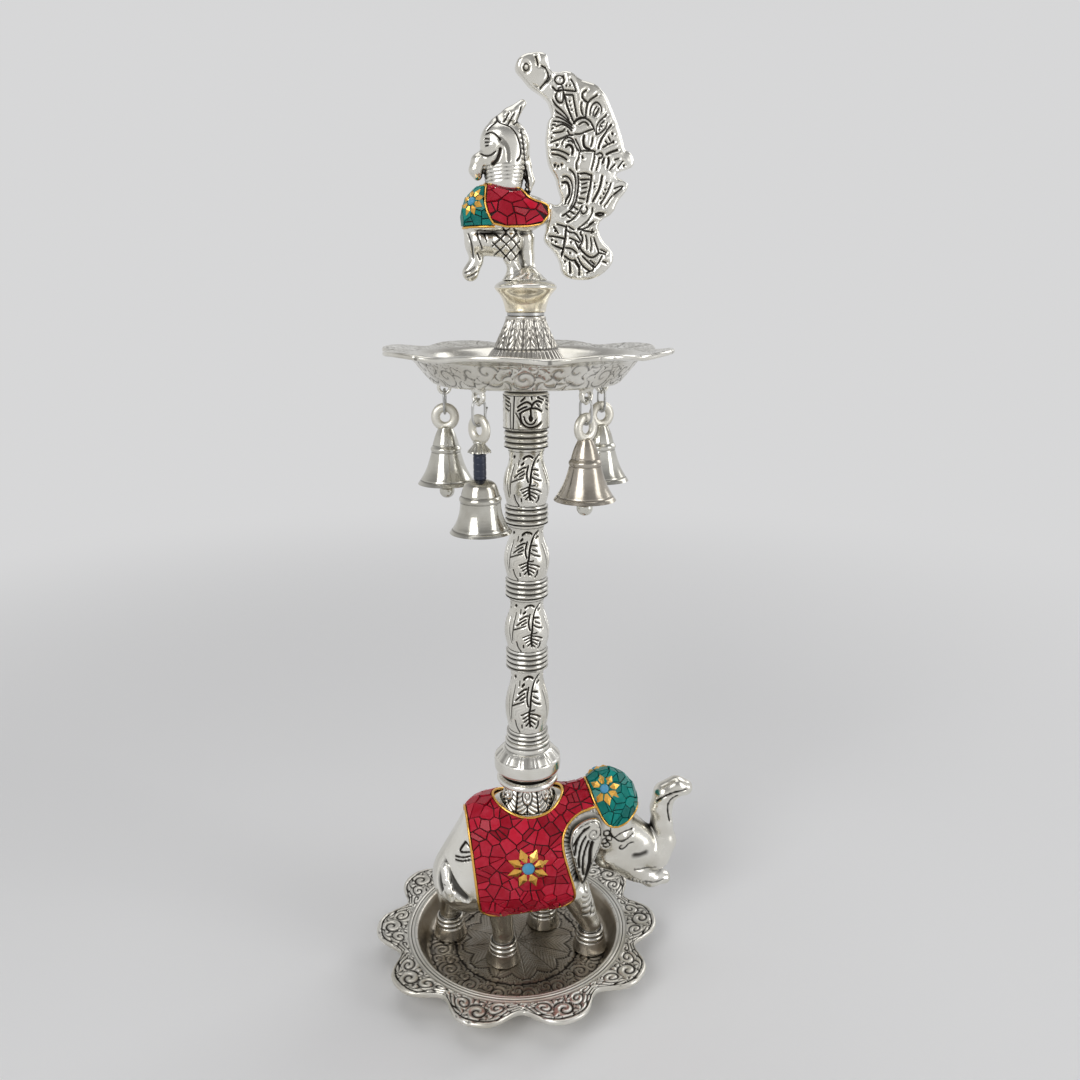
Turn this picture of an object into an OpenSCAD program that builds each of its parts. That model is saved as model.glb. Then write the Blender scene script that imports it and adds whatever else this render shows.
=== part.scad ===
// Standing oil lamp: a lobed tray carries a walking elephant, which carries a turned pillar,
// a lobed oil bowl with hanging bells, and a peacock finial.
// Millimetres, +Z up, origin on the table at the pillar's axis, the elephant walks along +X.

/* [Base tray] */
// Radius from the tray's centre to the tip of a lobe
tray_tip_r = 64; // [60:0.5:70]
// Number of lobes around the tray
tray_lobe_count = 10; // [9:1:12]
// Radius of the outline of one tray lobe
tray_lobe_r = 17.5; // [16:0.5:22]
// Direction of the tray's first lobe, in degrees from the elephant's heading
tray_lobe_a = -7; // [-18:1:18]
// Radius of the ring line where the well begins
tray_ring_r = 46; // [44:0.5:48]
// Radius of the floor of the well
tray_floor_r = 41; // [40:0.5:43]
// Depth of the well below the ring line
tray_well_depth = 9.5; // [7:0.5:13]
// Thickness of the tray's wall and floor
tray_wall = 2.5; // [2:0.1:4]
// Height of the foot disc under the floor
tray_foot_h = 2; // [1.5:0.5:5]
// Rise of the rim from the ring line to a lobe's tip
tray_rim_rise = 1; // [0.5:0.25:3]
// Distance of the tray's centre behind the pillar's axis
tray_offset = 5; // [0:0.5:7]

/* [Elephant] */
// Height of the elephant's back above its feet
elephant_back_h = 75.5; // [70:0.5:82]
// Depth of the flat seat cut into the back
back_seat_cut = 4; // [3:0.25:5]
// Radius of the fixing screws under the feet
foot_screw_r = 1.5; // [1:0.1:2]
// Radius of the heads of the fixing screws
foot_screw_head_r = 3; // [2.5:0.1:3.5]
// Length of the screw thread inside a foot
foot_screw_grip = 8; // [5:0.5:12]

/* [Stone work] */
// Thickness of the mosaic beds
mosaic_t = 1.3; // [0.8:0.1:1.8]
// Width of the border wires
wire_w = 1.2; // [0.8:0.1:1.8]
// Height of the border wires above the mosaic
wire_rise = 0.4; // [0.2:0.1:0.8]
// Thickness of the gilt petals
petal_t = 0.9; // [0.6:0.1:1.4]
// Number of petals on a flower
petal_count = 8; // [6:1:10]
// Radius of the flank flower
flank_flower_r = 9.5; // [8:0.25:11]
// Radius of the cap flower
cap_flower_r = 8; // [7:0.25:9]
// Radius of the breast flower
breast_flower_r = 5.8; // [5:0.25:6.5]
// Radius of the turquoise cabochon on a flank
flank_stone_r = 2.7; // [2:0.1:3.2]
// Radius of the turquoise cabochon on the cap
cap_stone_r = 2; // [1.5:0.1:2.6]
// Radius of the turquoise cabochon on the breast
breast_stone_r = 1.6; // [1.2:0.1:2]
// Clearance between a cabochon and its petals
cabochon_gap = 0.3; // [0.1:0.1:0.6]

/* [Collar and pillar] */
// Radius of the lotus boss where it meets the back
boss_base_r = 12; // [10.5:0.25:12.5]
// Radius of the lotus boss under its flange
boss_top_r = 9.8; // [9:0.25:11]
// Height of the lotus boss
boss_h = 9.5; // [7:0.5:13]
// Radius of the lower flange
lower_flange_r = 13.4; // [12:0.25:15]
// Thickness of the lower flange
lower_flange_t = 4.5; // [3:0.25:6]
// Radius of the dark joint between the flanges
joint_r = 10; // [9:0.25:11]
// Height of the dark joint between the flanges
joint_h = 1.2; // [0.8:0.1:2]
// Radius of the upper flange
upper_flange_r = 14.4; // [13:0.25:16]
// Chamfer round the top of the upper flange
upper_flange_chamfer = 3; // [1.5:0.25:4]
// Height of the pillar's foot with its upper flange
pillar_foot_h = 16.8; // [14:0.5:20]
// Length of the lowest pillar section
low_section_h = 37; // [34:0.5:42]
// Length of each middle pillar section
mid_section_h = 31; // [28:0.5:36]
// Length of the top pillar section
top_section_h = 22; // [19:0.5:28]
// Radius of the ring bands
band_r = 8.5; // [7.8:0.1:9.2]
// Height of half a ring band
half_band_h = 4.4; // [3.5:0.1:5]
// Radius of the necks beside the bands
neck_r = 7.4; // [6.8:0.1:7.8]
// Radius of the widest part of a section
bulge_r = 9.4; // [8.8:0.1:10.4]
// Radius of the hollow inside a section
section_hollow_r = 5; // [4.2:0.1:5.4]
// Thickness of the end wall of a section
section_end_t = 3; // [2:0.25:4]

/* [Tie rod] */
// Radius of the tie rod
rod_r = 3; // [2.5:0.1:3.4]
// Radial clearance of the rod in the stacked pieces
rod_gap = 0.2; // [0.1:0.05:0.4]
// Radial running clearance of the finial on the rod's end
finial_gap = 0.05; // [0.02:0.01:0.1]
// Depth of the rod's thread in the elephant's back
rod_grip = 14; // [10:0.5:20]
// Length of the rod's end inside the finial cup
rod_end = 6; // [4:0.25:7]
// Width across the flats of the bowl nut
nut_w = 10; // [9:0.5:12]
// Thickness of the bowl nut
nut_t = 5; // [4:0.5:7]
// Radius of the bowl washer
washer_r = 7; // [6:0.25:8]
// Thickness of the washers
washer_t = 1; // [0.6:0.1:1.5]

/* [Oil bowl] */
// Radius from the bowl's centre to the tip of a lobe
bowl_tip_r = 57.5; // [54:0.5:62]
// Number of lobes around the bowl
bowl_lobe_count = 8; // [7:1:11]
// Radius of the outline of one bowl lobe
bowl_lobe_r = 28; // [24:0.5:32]
// Direction of the bowl's first lobe, in degrees from the elephant's heading
bowl_lobe_a = 22; // [0:1:45]
// Radius of the bowl's flat bottom
bowl_foot_r = 36.5; // [35:0.5:39]
// Radius where the bowl's side meets its rim
bowl_side_r = 44.5; // [43:0.5:47]
// Height of the bowl's side
bowl_side_h = 11.5; // [9:0.5:15]
// Rise of the rim from the side to a lobe's tip
bowl_rim_rise = 2.5; // [1:0.25:4]
// Thickness of the bowl
bowl_wall = 2; // [1.6:0.1:3]
// Height of the lotus cone
cone_h = 23.5; // [20:0.5:28]
// Radius of the lotus cone on the bowl's floor
cone_base_r = 20; // [16:0.5:24]
// Radius of the top of the lotus cone
cone_top_r = 7.8; // [7:0.1:9]
// Wall of the lotus cone
cone_wall = 2.2; // [1.6:0.1:2.6]

/* [Bells] */
// Distance of the lugs inside the edge of the bowl's bottom
lug_inset = 3; // [2:0.25:5]
// Depth of a lug's eye below the bowl
lug_drop = 2.6; // [2.2:0.1:4]
// Outer radius of a lug's eye
lug_r = 3; // [2.7:0.1:4]
// Radius of the hole in a lug
lug_hole_r = 1.7; // [1.5:0.05:2]
// Thickness of a lug
lug_t = 2.4; // [1.8:0.1:2.8]
// Radius of the link wire
link_wire_r = 0.5; // [0.4:0.05:0.6]
// Width of a link between its wire's centre lines
link_w = 6; // [5.6:0.1:7.5]
// Distance between the two ends of a link's wire centre line
link_h = 9.8; // [9.2:0.1:14]
// Clearance of the link wire in the lug and in the bell's ring
link_gap = 0.45; // [0.4:0.05:0.6]
// Radius of the centre line of a bell's ring
ring_r = 3.8; // [3.4:0.1:4.4]
// Radius of the stock of a bell's ring
ring_stock_r = 1.5; // [1.2:0.1:1.8]
// Radius of a bell's mouth
bell_mouth_r = 11.8; // [10.5:0.1:13]
// Height of a bell
bell_h = 22.5; // [20:0.5:26]
// Thickness of a bell's wall
bell_wall = 1.3; // [1:0.1:1.6]
// Height of the dome of the long-necked bell
long_bell_h = 20; // [18:0.5:24]
// Length of the dark neck sleeve of the long-necked bell
sleeve_h = 10; // [7:0.5:13]
// Outer radius of the neck sleeve
sleeve_r = 2.4; // [2.2:0.1:3]
// Radius of the cap over the neck sleeve
sleeve_cap_r = 4.6; // [3.5:0.1:5.5]
// Radius of the stem inside the neck sleeve
stem_r = 1.4; // [1.2:0.05:1.7]
// Radius of the clapper's cross pin
pin_r = 0.6; // [0.5:0.05:0.7]
// Clearance of the clapper's eye on its pin
pin_gap = 0.3; // [0.2:0.05:0.4]
// Radius of the clapper's rod
clapper_rod_r = 0.7; // [0.5:0.05:0.9]
// Radius of the clapper's ball
clapper_ball_r = 3.2; // [2.6:0.1:3.4]
// Radius of the ball of the long-necked bell's clapper
long_ball_r = 2.8; // [2.2:0.1:3]

/* [Finial] */
// Height of the finial cup
cup_h = 12; // [11:0.5:15]
// Radius of the widest part of the cup
cup_r = 12; // [10.5:0.25:14]
// Radius of the cup's neck
cup_neck_r = 7.8; // [7:0.1:9]
// Height of the peacock's body from its feet to its crest
peacock_h = 64; // [58:0.5:70]
// Thickness of the tail
tail_t = 7; // [5:0.25:9]
// Radius of the pins that hold the tail and the peacock
fixing_pin_r = 1.3; // [1:0.1:1.6]
// Length of the pins that hold the tail and the peacock
fixing_pin_len = 8; // [6:0.5:10]

/* [Hidden] */
bell_count = 4;
BELLS = [for (i = [1 : bell_count]) i];

$fn = 64;
form_fn = 14;
torso_fn = 24;
eps = 0.01;
far = 200;

silver = "#d9d6cd";
champagne = "#cfc6b2";
stone_red = "#a3142a";
stone_teal = "#0f7a74";
gilt = "#d9a441";
turquoise = "#4a97c4";
navy = "#1c2333";

// Levels of the stack, from the table upwards
tray_floor_z = tray_foot_h + tray_wall;
tray_ring_z = tray_floor_z + tray_well_depth;
tray_tip_z = tray_ring_z + tray_rim_rise;
back_seat_z = tray_floor_z + elephant_back_h - back_seat_cut;
lower_flange_z = back_seat_z + boss_h;
joint_z = lower_flange_z + lower_flange_t;
pillar_foot_z = joint_z + joint_h;
section_heights = [top_section_h, mid_section_h, mid_section_h, mid_section_h, low_section_h];
pillar_z = pillar_foot_z + pillar_foot_h;
function sum_from(list, i) = i >= len(list) ? 0 : list[i] + sum_from(list, i + 1);
function section_z(i) = pillar_z + sum_from(section_heights, i);
bowl_z = pillar_z + sum_from(section_heights, 0);
bowl_floor_z = bowl_z + bowl_wall;
cone_top_z = bowl_floor_z + cone_h;
cup_z = cone_top_z + washer_t;
cup_top_z = cup_z + cup_h;

// The elephant's pattern, drawn for this back height and cast at elephant_back_h.
// Forms are [centre, radii] for ellipsoids and [x, y, z, radius] for limbs, feet at z = 0.
elephant_drawn_h = 75.5;
elephant_k = elephant_back_h / elephant_drawn_h;
torso_forms = [
  [[-14, 0, 56.5], [18, 17.5, 18.5]],
  [[-26, 0, 38.5], [17, 16, 17]],
  [[2, 0, 49.5], [20, 20.5, 26]],
  [[14, 0, 52.5], [16, 18, 22.5]]
];
neck_forms = [[[14, 0, 58], [14, 15, 17]], [[33, 0, 63], [13, 12, 15]]];
head_form = [[37, 0, 66.5], [14.5, 13.5, 17.5]];
face_forms = [[[36, 0, 55], [13, 12, 13]], [[50, 0, 46], [9, 9, 10]]];
jaw_path = [[38, 0, 44, 9.5], [50, 0, 33, 6], [60, 0, 26, 3.8], [65.5, 0, 24.8, 1.8]];
trunk_path = [
  [50, 0, 44, 9.5], [59.5, 0, 38, 8], [63.2, 0, 44.5, 5.6], [62.4, 0, 54, 4.5],
  [62, 0, 63, 4.6], [63.6, 0, 70, 4.7], [69, 0, 72.4, 4], [73, 0, 71, 3.4]
];
tail_path = [[-40, 2, 48, 2.6], [-42.5, 3, 37, 2.5], [-41, 4, 29, 3.2]];
ear_forms = [[[21, 17, 66], [9.5, 3.4, 8]], [[16, 19.6, 53], [5, 2.4, 6]], [[23.5, 18.5, 38], [2, 2, 3]]];
leg_r = 8.4;
ankle_r = 5.2;
foot_r = 6.8;
foot_h = 8;
anklet_r = 6.4;
anklet_t = 2.4;
// Each leg as [hip, foot] in plan, with the hip's height
hip_z = 30;
legs = [
  [[-30, 9], [-35, 11]], [[-21, -10], [-13, -10.5]], [[13, 9], [9, 11]], [[19, -9], [27, -9.5]]
];
saddle_outline = [
  [-29, 86], [-24.5, 34], [-20, 29.5], [-2, 27.5], [15, 30.5], [18.5, 34], [12.5, 56],
  [12, 64], [17, 71], [27.5, 69], [30, 86]
];
saddle_opening = [15.5, 13];
cap_outline = [[26, 92], [27, 76], [32, 65], [36, 60.5], [45, 59.5], [55, 61], [57, 92]];
flank_flower_at = [-3.2, 52];
cap_flower_from = [-3, 8.8, 13.5];

// The peacock's pattern, drawn for this height and cast at peacock_h, feet at z = 0
peacock_drawn_h = 64;
peacock_k = peacock_h / peacock_drawn_h;
breast_form = [[-12, 0, 27], [12, 9.5, 10]];
rear_forms = [[[1, 0, 24.5], [8, 7, 6]], [[7, 0, 24.5], [4, 3.5, 3.5]]];
head_forms = [[[-8, 0, 35], [7, 6.5, 6]], [[-7.5, 0, 48], [9.5, 7, 9]]];
beak_path = [[-14.3, 0, 44.5, 3.4], [-19.3, 0, 40.5, 1.2]];
crest_path = [[-9, 0, 55, 2.6], [-4, 0, 58, 2.6], [0, 0, 63, 1]];
ridge_path = [[0.5, 0, 53, 1.8], [2, 0, 43, 2], [1.5, 0, 32, 1.6]];
plume_path = [[-19.5, 0, 20, 4.4], [-20.3, 0, 11, 3.2], [-20, 0, 7, 2.6], [-20.6, 0, 3.6, 4]];
thigh_form = [[-6, 0, 16], [9, 6.5, 6]];
leg_paths = [for (s = [-1, 1]) [[-6, s * 3.5, 13, 4.6], [-2.5, s * 3, 3, 3], [-1.5, s * 3, -3, 4.2]]];
tail_root_x = 8;
tail_root_z = 24.5;
plumage_low_z = 18.6;
plumage_top_z = 36;
divide_low = [-14, plumage_low_z];
divide_top = [-15, plumage_top_z];
wing_rear = [[4, plumage_low_z], [11, 24], [9.5, 27.5], [2, 31], [-2, plumage_top_z]];
breast_front = [[-27, plumage_low_z], [-27, plumage_top_z]];
wing_outline = concat([divide_top, divide_low], wing_rear);
breast_outline = concat([divide_top, divide_low], breast_front);
plumage_outline = concat(breast_front, [for (i = [len(wing_rear) - 1 : -1 : 0]) wing_rear[i]]);
breast_flower_from = [-8.8, 8, 1.5];
tail_outline = [
  [8, 12.5], [8, 33], [7.5, 47], [8.6, 59], [3, 66], [-3, 71], [-3.6, 75], [1.9, 79], [7, 78.4],
  [9.5, 74.5], [14.8, 73.5], [24.2, 70], [31.9, 61], [36.8, 48], [41, 45.5], [41, 42], [34.3, 40],
  [39.4, 36], [33.4, 24.5], [28, 17], [33.7, 11], [31.5, 3.6], [21.2, 0], [13.4, 3.6]
];

// Bells: lug direction, the direction of the holes it hangs by, both in degrees round the axis
lug_count = 5;
lug_first_a = 14;
lug_step_a = 360 / lug_count;
bell_lug = [2, 3, 4, 0];
bell_facing = [80, 35, 122, 104];
bare_lug = 1;
bare_facing = 86;
long_bell = 2;
lug_circle_r = bowl_foot_r - lug_inset;
lug_z = bowl_z - lug_drop;
link_top_z = lug_z - lug_hole_r + link_wire_r + link_gap;
link_low_z = link_top_z - link_h;
ring_hole_r = ring_r - ring_stock_r;
ring_z = link_low_z - ring_hole_r + link_wire_r + link_gap;
crown_z = ring_z - ring_r - ring_stock_r / 2;
bell_pin_drop = 8.5;
sleeve_cap_h = 4;
long_pin_drop = 8.5;
long_crown_z = crown_z - sleeve_cap_h - sleeve_h;
clapper_len = 17;
long_clapper_len = 8.5;

module ellipsoid(form, grow = 0, sides = form_fn) {
  translate(form[0]) scale([for (r = form[1]) r + grow]) sphere(r = 1, $fn = sides);
}
module limb_ball(p) translate([p.x, p.y, p.z]) sphere(r = p[3], $fn = form_fn);
// A limb that runs through a list of [x, y, z, radius]
module limb(path) {
  for (i = [0 : len(path) - 2]) hull() {
    limb_ball(path[i]);
    limb_ball(path[i + 1]);
  }
}
module both_sides() {
  children();
  mirror([0, 1, 0]) children();
}
// A plan outline of round lobes about a centre
module lobed_outline(tip_r, lobe_r, count, first_a) {
  circle(r = tip_r - lobe_r);
  for (i = [0 : count - 1]) rotate(first_a + i * 360 / count) translate([tip_r - lobe_r, 0]) circle(r = lobe_r);
}
// A side-view outline extruded across the figure
module side_prism(outline, rounding = 2, inset = 0) {
  rotate([90, 0, 0]) linear_extrude(far, center = true)
    offset(delta = -inset) offset(r = rounding) offset(r = -rounding) polygon(outline);
}
// Diamond petals round a centre, as a prism along Z from -depth to depth
module petal_prism(inner_r, outer_r, depth) {
  half_w = 0.56 * outer_r * sin(180 / petal_count);
  root_w = 0.4;
  mid_r = 0.6 * outer_r;
  translate([0, 0, -depth]) linear_extrude(2 * depth)
    for (i = [0 : petal_count - 1]) rotate(i * 360 / petal_count)
      polygon([[inner_r, -root_w], [mid_r, -half_w], [outer_r, 0], [mid_r, half_w], [inner_r, root_w]]);
}
// Turns children's Z axis to a direction
module aim(direction) {
  rotate([0, acos(direction.z / norm(direction)), atan2(direction.y, direction.x)]) children();
}

// Base tray
module base_tray() {
  profile = [
    [0, 0], [tray_floor_r - tray_wall, 0], [tray_floor_r - tray_wall, tray_foot_h],
    [tray_floor_r, tray_foot_h], [tray_ring_r + tray_wall, tray_ring_z - tray_wall],
    [tray_tip_r + tray_wall, tray_tip_z - tray_wall], [tray_tip_r + tray_wall, tray_tip_z],
    [tray_ring_r, tray_ring_z], [tray_floor_r, tray_floor_z], [0, tray_floor_z]
  ];
  color(silver) difference() {
    translate([-tray_offset, 0, 0]) intersection() {
      rotate_extrude() polygon(profile);
      linear_extrude(far) lobed_outline(tray_tip_r, tray_lobe_r, tray_lobe_count, tray_lobe_a);
    }
    at_each_foot() {
      translate([0, 0, -eps]) cylinder(r = foot_screw_head_r + rod_gap, h = tray_foot_h + eps);
      cylinder(r = foot_screw_r + rod_gap, h = far, center = true);
    }
  }
}
module at_each_foot() {
  for (leg = legs) translate([leg[1].x * elephant_k, leg[1].y * elephant_k, 0]) children();
}
module elephant_screws() {
  head_t = tray_foot_h - rod_gap;
  color(silver) at_each_foot() {
    translate([0, 0, rod_gap]) cylinder(r = foot_screw_head_r, h = head_t);
    translate([0, 0, rod_gap]) cylinder(r = foot_screw_r, h = tray_floor_z + foot_screw_grip - rod_gap);
  }
}

// Elephant casting
module elephant_place() translate([0, 0, tray_floor_z]) scale(elephant_k) children();
module torso(grow = 0) {
  hull() for (form = torso_forms) ellipsoid(form, grow, torso_fn);
}
module clothed_form(grow = 0) {
  torso(grow);
  hull() for (form = neck_forms) ellipsoid(form, grow, torso_fn);
}
module head(grow = 0) ellipsoid(head_form, grow, torso_fn);
module leg(hip, foot) {
  limb([[hip.x, hip.y, hip_z, leg_r], [foot.x, foot.y, foot_h, ankle_r]]);
  translate([foot.x, foot.y, 0]) cylinder(r1 = foot_r, r2 = ankle_r, h = foot_h, $fn = form_fn);
  translate([foot.x, foot.y, foot_h]) cylinder(r = anklet_r, h = anklet_t, $fn = form_fn);
}
module elephant_forms() {
  clothed_form();
  head();
  hull() for (form = face_forms) ellipsoid(form);
  limb(jaw_path);
  limb(trunk_path);
  limb(tail_path);
  both_sides() {
    hull() for (form = [ear_forms[0], ear_forms[1]]) ellipsoid(form);
    hull() for (form = [ear_forms[0], ear_forms[2]]) ellipsoid(form);
  }
  for (l = legs) leg(l[0], l[1]);
}
module elephant_body() {
  color(silver) difference() {
    elephant_place() elephant_forms();
    translate([0, 0, back_seat_z]) cylinder(r = boss_base_r + rod_gap, h = far);
    translate([0, 0, back_seat_z - rod_grip]) cylinder(r = rod_r + rod_gap, h = far, $fn = 32);
    at_each_foot() cylinder(r = foot_screw_r + rod_gap, h = tray_floor_z + foot_screw_grip + rod_gap, $fn = 24);
  }
}

// Saddle cloth: a mosaic bed inside a wire border, with a gilt flower on each flank
module saddle_shell(inner, outer, outline_inset = 0, opening_grow = 0) {
  difference() {
    intersection() {
      clothed_form(outer);
      side_prism(saddle_outline, 2, outline_inset);
    }
    if (inner > 0) clothed_form(inner);
    scale([saddle_opening.x + opening_grow, saddle_opening.y + opening_grow, 1])
      cylinder(r = 1, h = far, $fn = 48);
    elephant_forms();
    head(mosaic_t + wire_rise);
  }
}
module saddle_mosaic() {
  color(stone_red) elephant_place() saddle_shell(0, mosaic_t, wire_w, wire_w);
}
module saddle_border_wire() {
  color(gilt) elephant_place() difference() {
    saddle_shell(0, mosaic_t + wire_rise);
    intersection() {
      side_prism(saddle_outline, 2, wire_w);
      difference() {
        translate([-far / 2, -far / 2, 0]) cube(far);
        scale([saddle_opening.x + wire_w, saddle_opening.y + wire_w, 1])
          cylinder(r = 1, h = far, $fn = 48);
      }
    }
  }
}
module on_flanks() {
  both_sides() translate([flank_flower_at.x, far / 2, flank_flower_at.y]) rotate([90, 0, 0]) children();
}
module saddle_petals() {
  color(gilt) elephant_place() difference() {
    intersection() {
      clothed_form(mosaic_t + petal_t);
      on_flanks() petal_prism(flank_stone_r + cabochon_gap, flank_flower_r, far / 2);
    }
    clothed_form(mosaic_t);
    elephant_forms();
  }
}
module saddle_cabochons() {
  color(turquoise) elephant_place() difference() {
    intersection() {
      clothed_form(mosaic_t + 2 * petal_t);
      on_flanks() cylinder(r = flank_stone_r, h = far, center = true, $fn = 24);
    }
    clothed_form(mosaic_t);
    elephant_forms();
  }
}

// Head cap: a mosaic bed inside a wire border, with a gilt flower on each side
module cap_shell(outer, outline_inset = 0) {
  difference() {
    intersection() {
      head(outer);
      side_prism(cap_outline, 2, outline_inset);
    }
    elephant_forms();
  }
}
module cap_mosaic() {
  color(stone_teal) elephant_place() cap_shell(mosaic_t, wire_w);
}
module cap_border_wire() {
  color(gilt) elephant_place() difference() {
    cap_shell(mosaic_t + wire_rise);
    side_prism(cap_outline, 2, wire_w);
  }
}
module on_cap() {
  both_sides() translate(head_form[0]) aim(cap_flower_from) children();
}
module cap_petals() {
  color(gilt) elephant_place() difference() {
    intersection() {
      head(mosaic_t + petal_t);
      on_cap() translate([0, 0, far / 2]) petal_prism(cap_stone_r + cabochon_gap, cap_flower_r, far / 2);
      side_prism(cap_outline, 2, wire_w);
    }
    head(mosaic_t);
    elephant_forms();
  }
}
module cap_cabochons() {
  color(turquoise) elephant_place() difference() {
    intersection() {
      head(mosaic_t + 2 * petal_t);
      on_cap() cylinder(r = cap_stone_r, h = far, $fn = 24);
    }
    head(mosaic_t);
    elephant_forms();
  }
}

// Collar on the elephant's back
module back_collar() {
  lip = 0.8;
  color(silver) rotate_extrude() polygon([
    [rod_r + rod_gap, back_seat_z], [boss_base_r, back_seat_z], [boss_base_r - lip, back_seat_z + boss_h / 2],
    [boss_top_r, lower_flange_z - lip], [lower_flange_r - lip, lower_flange_z],
    [lower_flange_r, lower_flange_z + lip], [lower_flange_r - lip, joint_z], [joint_r, joint_z],
    [joint_r, pillar_foot_z], [rod_r + rod_gap, pillar_foot_z]
  ]);
}
module pillar_foot() {
  ring_t = 3;
  neck_ring_r = band_r + 1.2;
  under_cut = upper_flange_chamfer / 2;
  shoulder_z = pillar_foot_z + pillar_foot_h / 2;
  color(silver) rotate_extrude() polygon([
    [rod_r + rod_gap, pillar_foot_z], [upper_flange_r - under_cut, pillar_foot_z],
    [upper_flange_r, pillar_foot_z + under_cut], [upper_flange_r, shoulder_z],
    [upper_flange_r - upper_flange_chamfer, shoulder_z + upper_flange_chamfer],
    [neck_ring_r, pillar_z - ring_t], [neck_ring_r, pillar_z], [rod_r + rod_gap, pillar_z]
  ]);
}

// One hollow pillar section with half a ring band at each end and a swelling between
module pillar_section(i) {
  z = section_z(i + 1);
  h = section_heights[i];
  groove = 0.6;
  steps = 12;
  swell_h = h - 2 * half_band_h;
  function swell_r(t) = neck_r + (bulge_r - neck_r) * pow(sin(180 * t), 1.5);
  color(silver) translate([0, 0, z]) rotate_extrude() polygon(concat(
    [[rod_r + rod_gap, 0], [band_r, 0], [band_r, half_band_h * 0.4],
     [band_r - groove, half_band_h * 0.5], [band_r, half_band_h * 0.6], [band_r, half_band_h]],
    [for (s = [0 : steps]) [swell_r(s / steps), half_band_h + swell_h * s / steps]],
    [[band_r, h - half_band_h], [band_r, h - half_band_h * 0.6], [band_r - groove, h - half_band_h * 0.5],
     [band_r, h - half_band_h * 0.4], [band_r, h], [rod_r + rod_gap, h],
     [rod_r + rod_gap, h - section_end_t], [section_hollow_r, h - section_end_t],
     [section_hollow_r, section_end_t], [rod_r + rod_gap, section_end_t]]
  ));
}
module tie_rod() {
  low_z = back_seat_z - rod_grip + rod_gap;
  color(silver) translate([0, 0, low_z]) cylinder(r = rod_r, h = cup_z + rod_end - low_z);
}
module flat_ring(outer_r, inner_r, t) {
  difference() {
    cylinder(r = outer_r, h = t);
    translate([0, 0, -eps]) cylinder(r = inner_r, h = t + 2 * eps);
  }
}
module bowl_washer() {
  color(silver) translate([0, 0, bowl_floor_z]) flat_ring(washer_r, rod_r + rod_gap, washer_t);
}
module bowl_nut() {
  color(silver) translate([0, 0, bowl_floor_z + washer_t]) difference() {
    cylinder(d = nut_w / cos(30), h = nut_t, $fn = 6);
    translate([0, 0, -eps]) cylinder(r = rod_r + rod_gap, h = nut_t + 2 * eps);
  }
}

// Oil bowl with its lugs
function lug_a(i) = lug_first_a + i * lug_step_a;
function lug_facing(i) =
  i == bare_lug ? bare_facing : [for (b = [0 : bell_count - 1]) if (bell_lug[b] == i) bell_facing[b]][0];
module at_lug(i, facing) {
  translate([lug_circle_r * cos(lug_a(i)), lug_circle_r * sin(lug_a(i)), 0]) rotate(facing) children();
}
// Turns a Z axis along the children's X axis
module along_x() rotate([0, 90, 0]) children();
module oil_bowl() {
  rim_z = bowl_side_h;
  tip_z = bowl_side_h + bowl_rim_rise;
  side_inner_r = bowl_side_r - bowl_wall;
  profile = [
    [rod_r + rod_gap, 0], [bowl_foot_r, 0], [bowl_side_r, rim_z - bowl_wall],
    [bowl_tip_r + bowl_wall, tip_z - bowl_wall], [bowl_tip_r + bowl_wall, tip_z], [bowl_side_r, rim_z],
    [side_inner_r, rim_z - bowl_wall / 2], [bowl_foot_r - bowl_wall, bowl_wall], [rod_r + rod_gap, bowl_wall]
  ];
  color(silver) difference() {
    union() {
      translate([0, 0, bowl_z]) intersection() {
        rotate_extrude() polygon(profile);
        linear_extrude(far) lobed_outline(bowl_tip_r, bowl_lobe_r, bowl_lobe_count, bowl_lobe_a);
      }
      for (i = [0 : lug_count - 1]) at_lug(i, lug_facing(i)) {
        translate([0, 0, lug_z]) along_x() cylinder(r = lug_r, h = lug_t, center = true);
        translate([-lug_t / 2, -lug_r, lug_z]) cube([lug_t, 2 * lug_r, lug_drop + bowl_wall / 2]);
      }
    }
    for (i = [0 : lug_count - 1]) at_lug(i, lug_facing(i)) translate([0, 0, lug_z])
      along_x() cylinder(r = lug_hole_r, h = 2 * lug_t, center = true);
  }
}
module lotus_cone() {
  hollow = 1.6;
  lip_h = 1.8;
  mid_r = (cone_base_r + cone_top_r) / 2 - hollow;
  mid_z = bowl_floor_z + cone_h * 0.55;
  color(silver) rotate_extrude() polygon([
    [cone_base_r - cone_wall, bowl_floor_z], [cone_base_r, bowl_floor_z], [cone_base_r, bowl_floor_z + lip_h],
    [mid_r, mid_z], [cone_top_r, cone_top_z - lip_h], [cone_top_r, cone_top_z],
    [rod_r + rod_gap, cone_top_z], [rod_r + rod_gap, cone_top_z - cone_wall],
    [cone_top_r - cone_wall, cone_top_z - cone_wall - lip_h], [mid_r - cone_wall, mid_z - lip_h / 2]
  ]);
}

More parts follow.
